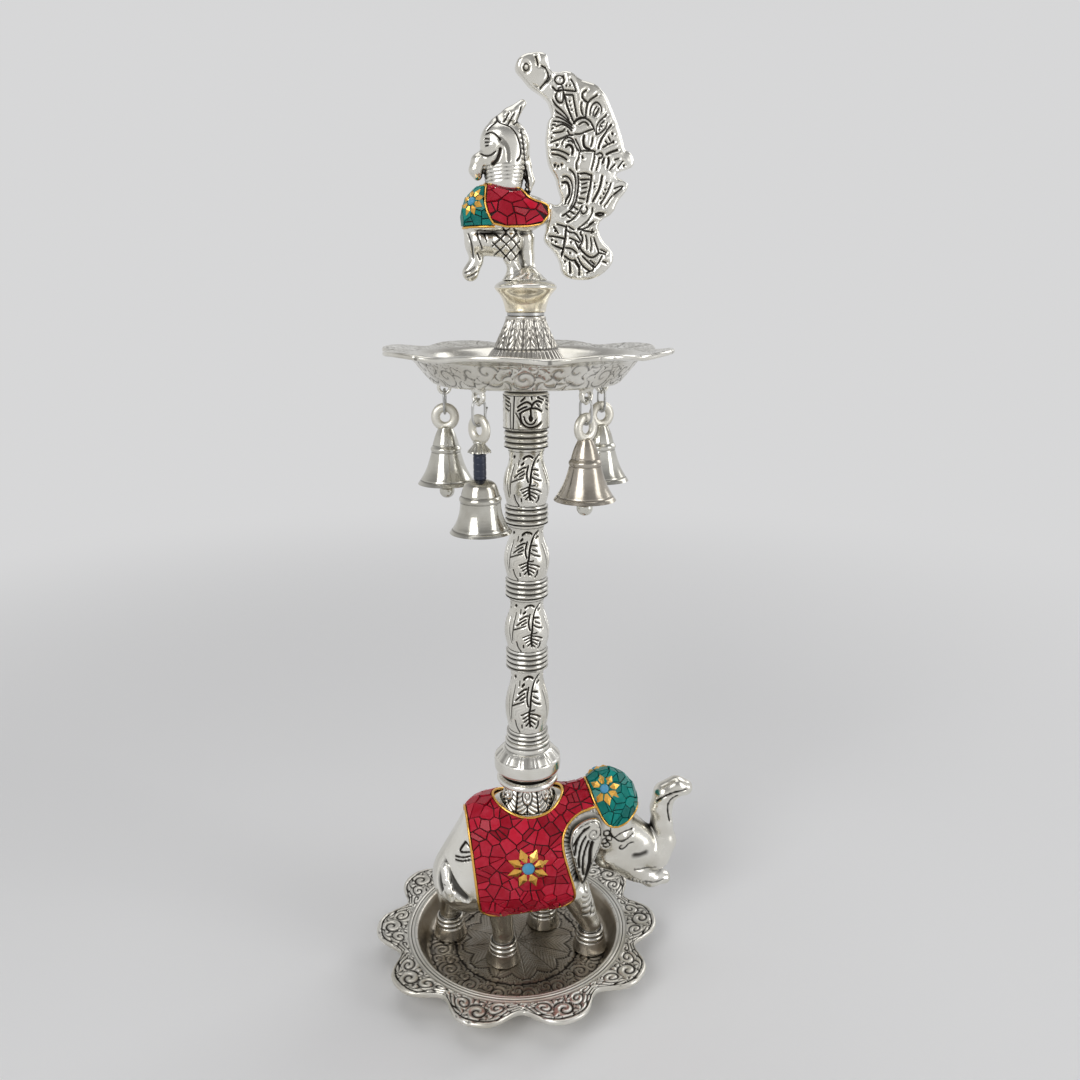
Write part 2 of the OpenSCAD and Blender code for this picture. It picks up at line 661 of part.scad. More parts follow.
// Finial: washer, turned cup, peacock and tail
module finial_washer() {
  color(silver) translate([0, 0, cone_top_z]) flat_ring(cup_neck_r - 0.6, rod_r + finial_gap, washer_t);
}
module finial_cup() {
  bore_r = rod_r + finial_gap;
  bore_top_z = cup_z + rod_end + rod_gap;
  flare = 0.8;
  crown = 3;
  color(champagne) difference() {
    rotate_extrude() polygon([
      [0, cup_z], [cup_neck_r, cup_z], [cup_neck_r, cup_z + cup_h * 0.1], [cup_neck_r + flare, cup_z + cup_h * 0.35],
      [cup_r - flare, cup_z + cup_h * 0.7], [cup_r, cup_z + cup_h * 0.78], [cup_r - flare, cup_z + cup_h * 0.88],
      [cup_r - crown, cup_top_z], [0, cup_top_z]
    ]);
    translate([0, 0, cup_z - eps]) cylinder(r = bore_r, h = bore_top_z - cup_z + eps);
    translate([0, 0, cup_top_z - fixing_pin_len / 2]) cylinder(r = fixing_pin_r, h = far);
  }
}
module finial_pin() {
  color(silver) translate([0, 0, cup_top_z - fixing_pin_len / 2]) cylinder(r = fixing_pin_r, h = fixing_pin_len);
}
module peacock_place() translate([0, 0, cup_top_z]) scale(peacock_k) children();
module plumage_form(grow = 0) {
  hull() {
    ellipsoid(breast_form, grow, torso_fn);
    ellipsoid(rear_forms[0], grow);
  }
  hull() for (form = rear_forms) ellipsoid(form, grow);
}
module peacock_forms() {
  plumage_form();
  hull() for (form = head_forms) ellipsoid(form);
  ellipsoid(thigh_form);
  limb(beak_path);
  limb(crest_path);
  limb(ridge_path);
  limb(plume_path);
  for (path = leg_paths) limb(path);
}
module peacock_body() {
  color(silver) difference() {
    peacock_place() peacock_forms();
    translate([-far / 2, -far / 2, cup_top_z - far]) cube(far);
    peacock_place() translate([tail_root_x, -far / 2, 0]) cube(far);
    translate([0, 0, cup_top_z - far / 2]) cylinder(r = fixing_pin_r, h = far / 2 + fixing_pin_len / 2, $fn = 24);
    at_tail_root() cylinder(r = fixing_pin_r, h = fixing_pin_len, center = true, $fn = 24);
  }
}
module at_tail_root() {
  translate([tail_root_x * peacock_k, 0, cup_top_z + tail_root_z * peacock_k]) along_x() children();
}
module peacock_tail() {
  color(silver) difference() {
    translate([0, tail_t / 2, cup_top_z]) rotate([90, 0, 0]) linear_extrude(tail_t)
      polygon([for (p = tail_outline) p * peacock_k]);
    at_tail_root() cylinder(r = fixing_pin_r, h = fixing_pin_len, center = true);
  }
}
module tail_pin() {
  color(silver) at_tail_root() cylinder(r = fixing_pin_r, h = fixing_pin_len, center = true);
}
module plumage_shell(outline, grow, outline_inset = 0) {
  difference() {
    intersection() {
      plumage_form(grow);
      side_prism(outline, 0, outline_inset);
    }
    peacock_forms();
    translate([tail_root_x, -far / 2, 0]) cube(far);
  }
}
module peacock_wing_mosaic() {
  color(stone_red) peacock_place() plumage_shell(wing_outline, mosaic_t, wire_w);
}
module peacock_breast_mosaic() {
  color(stone_teal) peacock_place() plumage_shell(breast_outline, mosaic_t, wire_w);
}
module peacock_border_wire() {
  color(gilt) peacock_place() difference() {
    plumage_shell(plumage_outline, mosaic_t + wire_rise);
    side_prism(wing_outline, 0, wire_w);
    side_prism(breast_outline, 0, wire_w);
  }
}
module on_breast() {
  both_sides() translate(breast_form[0]) aim(breast_flower_from) children();
}
module peacock_breast_petals() {
  color(gilt) peacock_place() difference() {
    intersection() {
      plumage_form(mosaic_t + petal_t);
      on_breast() translate([0, 0, far / 2])
        petal_prism(breast_stone_r + cabochon_gap, breast_flower_r, far / 2);
      side_prism(breast_outline, 0, wire_w);
    }
    plumage_form(mosaic_t);
    peacock_forms();
  }
}
module peacock_breast_cabochons() {
  color(turquoise) peacock_place() difference() {
    intersection() {
      plumage_form(mosaic_t + 2 * petal_t);
      on_breast() cylinder(r = breast_stone_r, h = far, $fn = 24);
    }
    plumage_form(mosaic_t);
    peacock_forms();
  }
}

// Bell chain: wire link, bell with its ring, clapper
module at_bell(b) at_lug(bell_lug[b - 1], bell_facing[b - 1]) children();
module bell_link(b) {
  bend_r = link_w / 2;
  straight_h = link_h - link_w;
  color(silver) at_bell(b) translate([0, 0, link_low_z + bend_r]) rotate([90, 0, 0]) {
    for (end = [0, 1]) translate([0, end * straight_h, 0]) rotate([0, 0, 180 + 180 * end])
      rotate_extrude(angle = 180) translate([bend_r, 0]) circle(r = link_wire_r);
    for (side = [-1, 1]) translate([side * bend_r, 0, 0]) rotate([-90, 0, 0])
      cylinder(r = link_wire_r, h = straight_h);
  }
}
// Half-profile of a bell from its crown at z = 0 to its mouth, as [share of mouth radius, share of height]
bell_shape = [[0.25, 0], [0.36, 0.12], [0.46, 0.3], [0.5, 0.36], [0.49, 0.42], [0.62, 0.68], [0.8, 0.86], [1, 1]];
long_bell_shape = [[0.22, 0], [0.5, 0.06], [0.6, 0.28], [0.64, 0.32], [0.66, 0.6], [0.8, 0.84], [1, 1]];
module bell_shell(shape, h, top_z) {
  outer = [for (s = shape) [s[0] * bell_mouth_r, top_z - s[1] * h]];
  inner = [for (i = [len(shape) - 1 : -1 : 0]) if (shape[i][1] > 0.2)
    [shape[i][0] * bell_mouth_r - bell_wall, top_z - shape[i][1] * h - (shape[i][1] < 1 ? bell_wall / 2 : 0)]];
  rotate_extrude() polygon(concat([[0, top_z]], outer, inner, [[0, inner[len(inner) - 1].y + bell_wall]]));
}
function pin_z(b) = b == long_bell ? long_crown_z - long_pin_drop : crown_z - bell_pin_drop;
function pin_reach(b) = (b == long_bell ? 0.64 : 0.48) * bell_mouth_r - bell_wall / 2;
module bell(b) {
  color(b == 3 ? champagne : silver) at_bell(b) {
    translate([0, 0, ring_z]) along_x() rotate_extrude() translate([ring_r, 0]) circle(r = ring_stock_r);
    if (b == long_bell) {
      translate([0, 0, crown_z - sleeve_cap_h]) cylinder(r1 = sleeve_cap_r, r2 = stem_r, h = sleeve_cap_h);
      translate([0, 0, long_crown_z - eps]) cylinder(r = stem_r, h = crown_z - long_crown_z);
      bell_shell(long_bell_shape, long_bell_h, long_crown_z);
    } else {
      bell_shell(bell_shape, bell_h, crown_z);
    }
    translate([0, 0, crown_z - ring_stock_r / 2]) cylinder(r = ring_stock_r, h = ring_stock_r);
    translate([0, 0, pin_z(b)]) along_x() cylinder(r = pin_r, h = 2 * pin_reach(b), center = true);
  }
}
module bell_clapper(b) {
  eye_stock_r = pin_r;
  eye_r = pin_r + pin_gap + eye_stock_r;
  drop = b == long_bell ? long_clapper_len : clapper_len;
  ball_r = b == long_bell ? long_ball_r : clapper_ball_r;
  hang_z = pin_z(b) - pin_gap / 2;
  color(silver) at_bell(b) {
    translate([0, 0, hang_z]) along_x() rotate_extrude() translate([eye_r, 0]) circle(r = eye_stock_r);
    translate([0, 0, hang_z - drop]) cylinder(r = clapper_rod_r, h = drop - eye_r);
    translate([0, 0, hang_z - drop]) sphere(r = ball_r);
  }
}
module bell_2_neck_sleeve() {
  color(navy) at_bell(long_bell) translate([0, 0, long_crown_z]) flat_ring(sleeve_r, stem_r, sleeve_h);
}

base_tray();
elephant_screws();
elephant_body();
saddle_mosaic();
saddle_border_wire();
saddle_petals();
saddle_cabochons();
cap_mosaic();
cap_border_wire();
cap_petals();
cap_cabochons();
back_collar();
pillar_foot();
pillar_section(0);  // pillar_section_1
pillar_section(1);  // pillar_section_2
pillar_section(2);  // pillar_section_3
pillar_section(3);  // pillar_section_4
pillar_section(4);  // pillar_section_5
tie_rod();
bowl_washer();
bowl_nut();
oil_bowl();
lotus_cone();
finial_washer();
finial_cup();
finial_pin();
peacock_body();
peacock_tail();
tail_pin();
peacock_wing_mosaic();
peacock_breast_mosaic();
peacock_border_wire();
peacock_breast_petals();
peacock_breast_cabochons();
bell_2_neck_sleeve();
for (b = BELLS) bell_link(b);
for (b = BELLS) bell(b);
for (b = BELLS) bell_clapper(b);
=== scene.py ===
"""Looks of a standing oil lamp: a tray, an elephant, a pillar, an oil bowl with bells and a peacock.

Every shape is made in millimetres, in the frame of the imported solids, and turned to metres when its
piece is added. Cast figures are meshed from distance fields, turned pieces are lathed, and carving is
a height added along the surface, which also says where the metal is bright and where it is dark.
"""
import math

import bpy
import numpy as np
from mathutils import Matrix, Vector


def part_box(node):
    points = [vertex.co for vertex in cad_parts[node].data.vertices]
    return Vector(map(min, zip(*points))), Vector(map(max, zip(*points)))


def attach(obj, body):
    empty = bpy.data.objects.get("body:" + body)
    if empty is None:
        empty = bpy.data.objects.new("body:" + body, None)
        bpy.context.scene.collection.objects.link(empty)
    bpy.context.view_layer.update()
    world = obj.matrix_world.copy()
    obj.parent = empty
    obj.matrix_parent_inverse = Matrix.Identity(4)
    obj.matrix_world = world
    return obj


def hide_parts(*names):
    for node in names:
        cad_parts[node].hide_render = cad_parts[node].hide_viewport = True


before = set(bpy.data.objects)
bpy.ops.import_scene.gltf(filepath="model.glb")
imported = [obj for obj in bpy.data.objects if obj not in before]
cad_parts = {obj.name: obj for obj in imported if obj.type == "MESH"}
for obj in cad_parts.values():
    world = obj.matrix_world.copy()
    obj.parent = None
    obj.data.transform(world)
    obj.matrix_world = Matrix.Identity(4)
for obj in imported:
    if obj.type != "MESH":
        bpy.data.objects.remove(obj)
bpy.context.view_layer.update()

MM = 0.001
TURN = 2 * math.pi
DETAIL = 1.0

# Camera, fitted to the photograph, which is a square of so many pixels
PIXELS = 1080
FOCAL_PIXELS = 924.0
SENSOR_MM = 36.0
CAMERA_AZIMUTH = math.radians(-10)
CAMERA_PITCH = math.radians(15)
CAMERA_BACK = 366.0
CAMERA_RIGHT = 5.5
CAMERA_HEIGHT = 294.0
LEVEL_AHEAD = np.array((-math.sin(CAMERA_AZIMUTH), math.cos(CAMERA_AZIMUTH), 0))
VIEW_RIGHT = np.array((math.cos(CAMERA_AZIMUTH), math.sin(CAMERA_AZIMUTH), 0))
VIEW_AHEAD = LEVEL_AHEAD * math.cos(CAMERA_PITCH) - np.array((0, 0, math.sin(CAMERA_PITCH)))
VIEW_UP = np.cross(VIEW_RIGHT, VIEW_AHEAD)
VIEW_FROM = VIEW_RIGHT * CAMERA_RIGHT - LEVEL_AHEAD * CAMERA_BACK + np.array((0, 0, CAMERA_HEIGHT))


def box_mm(node):
    """Lowest and highest corner of a solid, in millimetres."""
    low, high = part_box(node)
    return np.array(low) / MM, np.array(high) / MM


# Levels and radii taken from the solids
TRAY_TOP_Z = box_mm("base_tray")[1][2]
SEAT_Z = box_mm("back_collar")[0][2]
FOOT_LOW, FOOT_HIGH = box_mm("pillar_foot")
BOWL_TOP_Z = box_mm("oil_bowl")[1][2]
CONE_LOW, CONE_HIGH = box_mm("lotus_cone")
CUP_LOW, CUP_HIGH = box_mm("finial_cup")
TIE_ROD_R = box_mm("tie_rod")[1][0]
HOLE_R = TIE_ROD_R + 0.2
FACING_CAMERA = math.radians(-100)


# Numbers and curves

def ramp(x, start, end):
    """Smooth step from 0 at start to 1 at end."""
    t = np.clip((x - start) / (end - start), 0, 1)
    return t * t * (3 - 2 * t)


def ridges(phase, width=0.6):
    """1 on the back of each ridge and 0 in the groove, once for each whole phase."""
    return (0.5 - 0.5 * np.cos(TURN * phase)) ** (1 - width)


def wrapped(angle):
    """Angle brought between minus half a turn and half a turn."""
    return (angle + math.pi) % TURN - math.pi


def rounded(points, times=2):
    """An open line with its corners cut a few times over and its two ends in place."""
    line = np.array(points, float)
    for _ in range(times):
        near = 0.75 * line[:-1] + 0.25 * line[1:]
        away = 0.25 * line[:-1] + 0.75 * line[1:]
        middle = np.stack([near, away], axis=1).reshape(-1, line.shape[1])
        line = np.vstack([line[:1], middle[1:-1], line[-1:]])
    return line


def resampled(line, step):
    """Points at even steps along a line."""
    line = np.array(line, float)
    run = np.concatenate([[0], np.cumsum(np.linalg.norm(np.diff(line, axis=0), axis=1))])
    count = max(2, int(round(run[-1] / step)) + 1)
    marks = np.linspace(0, run[-1], count)
    return np.stack([np.interp(marks, run, line[:, i]) for i in range(line.shape[1])], axis=1)


def rounded_polygon(points, times=2):
    """A closed outline with its corners cut."""
    line = np.array(points, float)
    for _ in range(times):
        following = np.roll(line, -1, axis=0)
        near = 0.75 * line + 0.25 * following
        away = 0.25 * line + 0.75 * following
        line = np.stack([near, away], axis=1).reshape(-1, 2)
    return line


def line_distance(p, line):
    """Distance from points to an open line."""
    near = np.full(len(p), np.inf)
    line = np.asarray(line, float)
    for a, b in zip(line[:-1], line[1:]):
        edge = b - a
        share = np.clip(((p - a) @ edge) / max(edge @ edge, 1e-12), 0, 1)
        near = np.minimum(near, np.linalg.norm(p - a - share[:, None] * edge, axis=1))
    return near


def outline_distance(p, outline):
    """Distance from points of the plane to a closed outline, less than 0 inside."""
    near = line_distance(p, np.vstack([outline, outline[:1]]))
    inside = np.zeros(len(p), bool)
    for a, b in zip(outline, np.roll(outline, -1, axis=0)):
        edge = b - a
        if edge[1] != 0:
            spans = (a[1] > p[:, 1]) != (b[1] > p[:, 1])
            inside ^= spans & (p[:, 0] < a[0] + (p[:, 1] - a[1]) * edge[0] / edge[1])
    return np.where(inside, -near, near)


def lines_away(p, lines):
    """Distance to the nearest of some lines, each [half its width, points], and less than 0 in a line."""
    return np.min([line_distance(p, rounded(line, 1)) - half for half, line in lines], axis=0)


# Lines drawn over enlargements of the photograph, each [width, points] in pixels of its enlargement

def sighted(view, spot, y, base):
    """Where the sight line through a drawn point meets the plane at one y: its x and its height over a base.

    A view of the photograph is [the first pixel that it shows, how many times it is enlarged]."""
    first, scale = view
    across = first[0] + spot[0] / scale - PIXELS / 2
    down = first[1] + spot[1] / scale - PIXELS / 2
    ray = VIEW_AHEAD * FOCAL_PIXELS + VIEW_RIGHT * across - VIEW_UP * down
    place = VIEW_FROM + (y - VIEW_FROM[1]) / ray[1] * ray
    return round(float(place[0]), 1), round(float(place[2] - base), 1)


def placed_lines(drawn, spot, pixel_mm, thinnest):
    """Drawn lines as [half the width, points] in millimetres, where spot says where a drawn point lies."""
    halves = [round(max(width * pixel_mm / 2, thinnest), 2) for width, _ in drawn]
    return [(half, [spot(point) for point in points]) for half, (_, points) in zip(halves, drawn)]


# Shapes: points, faces and two shades a point, one for brightness and one for the tone of a chip

class Shape:
    def __init__(self, points, faces, bright=None, tone=None, kind=0):
        self.points = np.asarray(points, float)
        self.faces = list(map(tuple, faces))
        self.bright = np.ones(len(self.points)) if bright is None else np.asarray(bright, float)
        self.tone = np.zeros(len(self.points)) if tone is None else np.asarray(tone, float)
        self.kinds = [kind] * len(self.faces)

    def moved(self, matrix):
        m = np.array(matrix)
        self.points = self.points @ m[:3, :3].T + m[:3, 3]
        return self


def union(shapes):
    """Many shapes joined to one."""
    shift = np.cumsum([0] + [len(s.points) for s in shapes[:-1]])
    whole = Shape(np.vstack([s.points for s in shapes]), [])
    whole.faces = [tuple(i + n for i in f) for s, n in zip(shapes, shift) for f in s.faces]
    whole.bright = np.concatenate([s.bright for s in shapes])
    whole.tone = np.concatenate([s.tone for s in shapes])
    whole.kinds = [k for s in shapes for k in s.kinds]
    return whole


def add_piece(name, shape, body, nodes, materials):
    """Adds a shape as a piece that rides on a body and stands for some solids."""
    mesh = bpy.data.meshes.new(name)
    mesh.from_pydata((shape.points * MM).tolist(), [], shape.faces)
    for key, values in (("bright", shape.bright), ("tone", shape.tone)):
        layer = mesh.attributes.new(key, "FLOAT", "POINT")
        layer.data.foreach_set("value", np.clip(values, 0, 1).astype(np.float32))
    for material in materials:
        mesh.materials.append(material)
    mesh.polygons.foreach_set("material_index", shape.kinds)
    mesh.polygons.foreach_set("use_smooth", [True] * len(mesh.polygons))
    mesh.update()
    piece = bpy.data.objects.new(name, mesh)
    bpy.context.scene.collection.objects.link(piece)
    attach(piece, body)
    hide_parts(*nodes)
    return piece


def crisp(piece, degrees=35):
    """Keeps edges sharper than an angle crisp."""
    piece.data.set_sharp_from_angle(angle=math.radians(degrees))
    return piece


# Lathed and swept shapes

def lathe(profile, segments, closed=False, carve=None):
    """Turns a profile of [radius, height] about Z. The outer side of the profile runs upwards."""
    profile = np.asarray(profile, float)
    segments = max(12, int(segments / DETAIL))
    angle = np.arange(segments) * TURN / segments
    if closed:
        ahead, behind = np.roll(profile, -1, axis=0), np.roll(profile, 1, axis=0)
    else:
        ahead = np.vstack([profile[1:], profile[-1:]])
        behind = np.vstack([profile[:1], profile[:-1]])
    along = ahead - behind
    along /= np.maximum(np.linalg.norm(along, axis=1), 1e-9)[:, None]
    radius = np.repeat(profile[:, :1], segments, axis=1)
    height = np.repeat(profile[:, 1:], segments, axis=1)
    bright = np.ones_like(radius)
    if carve:
        lift, bright = carve(angle[None, :] + 0 * radius, radius, height)
        bright = bright + 0 * radius
        radius = np.where(radius > 1e-6, radius + lift * along[:, 1:], 0)
        height = height - lift * along[:, :1]
    points = np.stack([radius * np.cos(angle), radius * np.sin(angle), height], axis=2)
    rows = len(profile)
    index = np.arange(rows * segments).reshape(rows, segments)
    poles = [i for i in (0, rows - 1) if not closed and profile[i, 0] < 1e-6]
    for i in poles:
        index[i] = index[i, 0]
    near, away = index, np.roll(index, -1, axis=1)
    last = rows if closed else rows - 1
    faces = []
    for i in range(last):
        k = (i + 1) % rows
        quads = np.stack([near[i], away[i], away[k], near[k]], axis=1)
        if i in poles:
            quads = quads[:, [0, 2, 3]]
        elif k in poles:
            quads = quads[:, [0, 1, 2]]
        faces += quads.tolist()
    return compacted(points.reshape(-1, 3), faces, bright.reshape(-1))


def compacted(points, faces, bright):
    """A shape without the points that no face uses."""
    used = np.unique(np.concatenate([np.asarray(f) for f in faces]))
    place = np.full(len(points), -1)
    place[used] = np.arange(len(used))
    return Shape(points[used], [tuple(place[list(f)]) for f in faces], bright[used])


def tube(path, radius, sides=10, closed=False):
    """A round wire along a path."""
    path = np.asarray(path, float)
    count = len(path)
    if closed:
        ahead = np.roll(path, -1, axis=0) - np.roll(path, 1, axis=0)
    else:
        ahead = np.gradient(path, axis=0)
    ahead /= np.maximum(np.linalg.norm(ahead, axis=1), 1e-9)[:, None]
    side = np.cross(ahead[0], [0.3, 0.2, 0.9])
    rings = []
    turn = np.arange(sides) * TURN / sides
    for i in range(count):
        side = side - ahead[i] * (side @ ahead[i])
        side /= np.linalg.norm(side)
        other = np.cross(ahead[i], side)
        rings.append(path[i] + radius * (np.cos(turn)[:, None] * side + np.sin(turn)[:, None] * other))
    points = np.concatenate(rings)
    index = np.arange(count * sides).reshape(count, sides)
    faces = []
    for i in range(count if closed else count - 1):
        a, b = index[i], index[(i + 1) % count]
        if closed and i == count - 1:
            start = np.argmin(np.linalg.norm(points[b] - points[a[0]], axis=1))
            b = np.roll(b, -start)
        faces += np.stack([a, np.roll(a, -1), np.roll(b, -1), b], axis=1).tolist()
    if not closed:
        faces += [tuple(index[0][::-1]), tuple(index[-1])]
    return Shape(points, faces)


BALL_RINGS = 12


def ball(centre, radii, segments=20):
    """An ellipsoid."""
    turn = np.linspace(-math.pi / 2, math.pi / 2, BALL_RINGS + 1)
    profile = np.stack([np.cos(turn), np.sin(turn)], axis=1)
    profile[[0, -1], 0] = 0
    shape = lathe(profile, segments * DETAIL)
    shape.points = shape.points * np.asarray(radii, float) + np.asarray(centre, float)
    return shape


# Distance fields for the cast figures

def ellipsoid(p, form):
    centre, radii = np.array(form[0], float), np.array(form[1], float)
    q = p - centre
    near = np.linalg.norm(q / radii, axis=1)
    slope = np.linalg.norm(q / radii**2, axis=1)
    return near * (near - 1) / np.maximum(slope, 1e-9)


def soft_union(a, b, reach):
    """The nearer of two distances, blended over a reach."""
    share = np.clip(0.5 + 0.5 * (b - a) / reach, 0, 1)
    return b + share * (a - b) - reach * share * (1 - share)


def between(forms, steps=3):
    """The ellipsoids and others spread between each two of them, which together fill their hull."""
    made = [(np.array(c, float), np.array(r, float)) for c, r in forms]
    shares = np.arange(1, steps + 1) / (steps + 1)
    pairs = [(a, b) for i, a in enumerate(made) for b in made[i + 1:]]
    return made + [(a[0] + t * (b[0] - a[0]), a[1] + t * (b[1] - a[1])) for a, b in pairs for t in shares]


def hull(p, forms, reach):
    """Ellipsoids blended to one form."""
    whole = ellipsoid(p, forms[0])
    for form in forms[1:]:
        whole = soft_union(whole, ellipsoid(p, form), reach)
    return whole


def limb(p, path, reach=1.5):
    """A limb through points of [x, y, z, radius]."""
    path = np.array(path, float)
    whole = None
    for a, b in zip(path[:-1], path[1:]):
        edge = b[:3] - a[:3]
        share = np.clip(((p - a[:3]) @ edge) / (edge @ edge), 0, 1)
        bone = np.linalg.norm(p - a[:3] - share[:, None] * edge, axis=1) - (a[3] + share * (b[3] - a[3]))
        whole = bone if whole is None else soft_union(whole, bone, reach)
    return whole


def ring(p, centre, radius, stock):
    """A ring of round stock about an upright axis."""
    q = p - np.array(centre, float)
    return np.hypot(np.hypot(q[:, 0], q[:, 1]) - radius, q[:, 2]) - stock


def gradient(p, field, reach=0.05):
    slope = [field(p + step) - field(p - step) for step in np.eye(3) * reach]
    return np.stack(slope, axis=1) / (2 * reach)


def normals(p, field):
    slope = gradient(p, field)
    return slope / np.maximum(np.linalg.norm(slope, axis=1), 1e-9)[:, None]


def settled(p, field, rounds, reach):
    """Points drawn along the field's slope onto its surface, by no more than a reach in each round."""
    for _ in range(rounds):
        slope = gradient(p, field)
        move = slope * (field(p) / np.maximum((slope**2).sum(axis=1), 1e-6))[:, None]
        length = np.maximum(np.linalg.norm(move, axis=1), 1e-9)
        p = p - move * np.minimum(1, reach / length)[:, None]
    return p


CORNERS = [(i, j, k) for i in (0, 1) for j in (0, 1) for k in (0, 1)]
RING_OF_CELLS = ((1, 1), (0, 1), (0, 0), (1, 0))
EDGES = [(a, b) for a in range(8) for b in range(a + 1, 8)
         if sum(x != y for x, y in zip(CORNERS[a], CORNERS[b])) == 1]
BLOCK = 4


def sampled(field, low, high, step):
    """The field on a grid, worked out closely only in the blocks near its surface."""
    blocks = np.ceil((high - low) / (step * BLOCK)).astype(int)
    places = np.stack(np.meshgrid(*[np.arange(n) for n in blocks], indexing="ij"), axis=-1).reshape(-1, 3)
    coarse = field(low + step * BLOCK * (places + 0.5)).reshape(blocks)
    near = np.abs(coarse) < step * BLOCK * 1.6
    values = coarse
    for axis in range(3):
        values = np.repeat(values, BLOCK, axis=axis)
        near = np.repeat(near, BLOCK, axis=axis)
    spots = np.argwhere(near)
    values[near] = field(low + step * spots)
    return values


def meshed(field, low, high, step):
    """A quad mesh over the zero level of a field: one point in each cell that the level crosses."""
    step = step * DETAIL
    low, high = np.array(low, float) - 3 * step, np.array(high, float) + 3 * step
    values = sampled(field, low, high, step)
    inside = values < 0
    size = np.array(values.shape) - 1
    filled = sum(inside[i:i + size[0], j:j + size[1], k:k + size[2]].astype(np.int8) for i, j, k in CORNERS)
    cells = np.argwhere((filled > 0) & (filled < 8))
    index = np.full(size, -1)
    index[tuple(cells.T)] = np.arange(len(cells))
    corner = np.stack([values[tuple((cells + c).T)] for c in CORNERS])
    total, hits = np.zeros((len(cells), 3)), np.zeros(len(cells))
    for a, b in EDGES:
        cuts = (corner[a] < 0) != (corner[b] < 0)
        gap = np.where(cuts, corner[a] - corner[b], 1)
        share = np.where(cuts, corner[a] / gap, 0)
        start, end = np.array(CORNERS[a]), np.array(CORNERS[b])
        total += (start + share[:, None] * (end - start)) * cuts[:, None]
        hits += cuts
    points = low + step * (cells + total / hits[:, None])
    quads = []
    for axis in range(3):
        u, v = np.eye(3, dtype=int)[(axis + 1) % 3], np.eye(3, dtype=int)[(axis + 2) % 3]
        here = np.take(inside, range(inside.shape[axis] - 1), axis=axis)
        there = np.take(inside, range(1, inside.shape[axis]), axis=axis)
        spots = np.argwhere(here != there)
        fits = ((spots @ u) > 0) & ((spots @ v) > 0) & ((spots @ u) < size @ u) & ((spots @ v) < size @ v)
        spots = spots[fits]
        quad = np.stack([index[tuple((spots - a * u - b * v).T)] for a, b in RING_OF_CELLS], axis=1)
        outward = here[tuple(spots.T)]
        quads.append(np.where(outward[:, None], quad, quad[:, ::-1]))
    return settled(points, field, 2, 0.5 * step), np.concatenate(quads)


def openness(p, normal, field, reaches):
    """1 on open surfaces and towards 0 in crevices, where it darkens the metal as painted shade, with
    tarnish.
    """
    shares = [np.clip(field(p + normal * reach) / reach, 0, 1) for reach in reaches]
    return np.mean(shares, axis=0)


# Carved ornament

def scrollwork(u, v, motifs, seam=0.35, width=0.72):
    """Carving where each point follows the nearest motif, with a dark seam between two.

    A motif is [u, v, share of the room, rings per millimetre, arms]: rings alone are an eye, one arm
    makes a curl and many arms make a fan of blades."""
    first = np.full(np.shape(u), np.inf)
    second = np.full(np.shape(u), np.inf)
    phase = np.zeros(np.shape(u))
    for mu, mv, room, rings_mm, arms in motifs:
        away = np.hypot(u - mu, v - mv)
        reach = away / room
        turn = np.arctan2(v - mv, u - mu) / TURN
        closer = reach < first
        second = np.where(closer, first, np.minimum(second, reach))
        phase = np.where(closer, away * rings_mm + turn * arms, phase)
        first = np.minimum(first, reach)
    edge = ramp(second - first, 0.0, seam)
    return ridges(phase, width) * (0.1 + 0.9 * edge)


def line_cut(away, width):
    """0 in an engraved line and 1 away from it."""
    return ramp(away, 0.4 * width, width)


def engraved(away, reach, share=1.0):
    """0 in a line, 1 away from it, with a share of a fainter line beside it at each reach."""
    beside = 0.45 * (1 - ridges(np.maximum(away, 0) / reach, 0.5))
    return ramp(away, -0.1, 0.32) * (1 - share * beside)


def leaf_cut(u, v, lines):
    """How much metal stands and how bright it is, at points of a leaf's own plane in millimetres."""
    away = lines_away(np.stack([np.ravel(u), np.ravel(v)], axis=1), lines).reshape(np.shape(u))
    return ramp(away, -0.12, 0.4), engraved(away, 1.05)


def lotus_leaf(u, v):
    """A petal in the square from -1 to 1: barbs off a midrib above a bud of nested drops."""
    side = np.abs(u)
    drop = np.hypot(u * 1.25, (v + 0.45) * np.where(v > -0.45, 0.72, 1.25))
    bud = ridges(drop * 3.4 + 0.12, 0.66)
    barb = ridges(2.4 * (v - 1.1 * side) + 0.9 * side**2, 0.66)
    leaf = np.where(drop < 0.62, bud, barb * ramp(side, 0.02, 0.09))
    return leaf * ramp(np.abs(side - 0.93), 0.02, 0.1) * ramp(np.abs(drop - 0.62), 0.0, 0.06)


def nicks(angle, radius, ring_r, count, seed):
    """1 along a rim but for a few small dark flaws of the casting."""
    draw = np.random.default_rng(seed)
    clear = np.ones(np.shape(angle))
    for turn, out, size in draw.uniform((0, -0.5, 0.3), (TURN, 0.6, 0.8), (count, 3)):
        away = np.hypot(wrapped(angle - turn) * ring_r / 2, radius - ring_r - out)
        clear = np.minimum(clear, 0.35 + 0.65 * line_cut(away, size))
    return clear


# Materials

def nodes_of(name):
    material = bpy.data.materials.new(name)
    material.use_nodes = True
    tree = material.node_tree
    shader = tree.nodes["Principled BSDF"]
    return material, tree, shader


def put(tree, kind, **settings):
    """Adds a shader node and sets its named inputs and properties."""
    node = tree.nodes.new(kind)
    for key, value in settings.items():
        if hasattr(node, key):
            setattr(node, key, value)
        else:
            node.inputs[key.replace("_", " ")].default_value = value
    return node


def noise(tree, scale, detail=4.0, rough=0.55):
    place = put(tree, "ShaderNodeTexCoord")
    texture = put(tree, "ShaderNodeTexNoise", Scale=scale, Detail=detail, Roughness=rough)
    tree.links.new(place.outputs["Object"], texture.inputs["Vector"])
    return texture.outputs["Fac"]


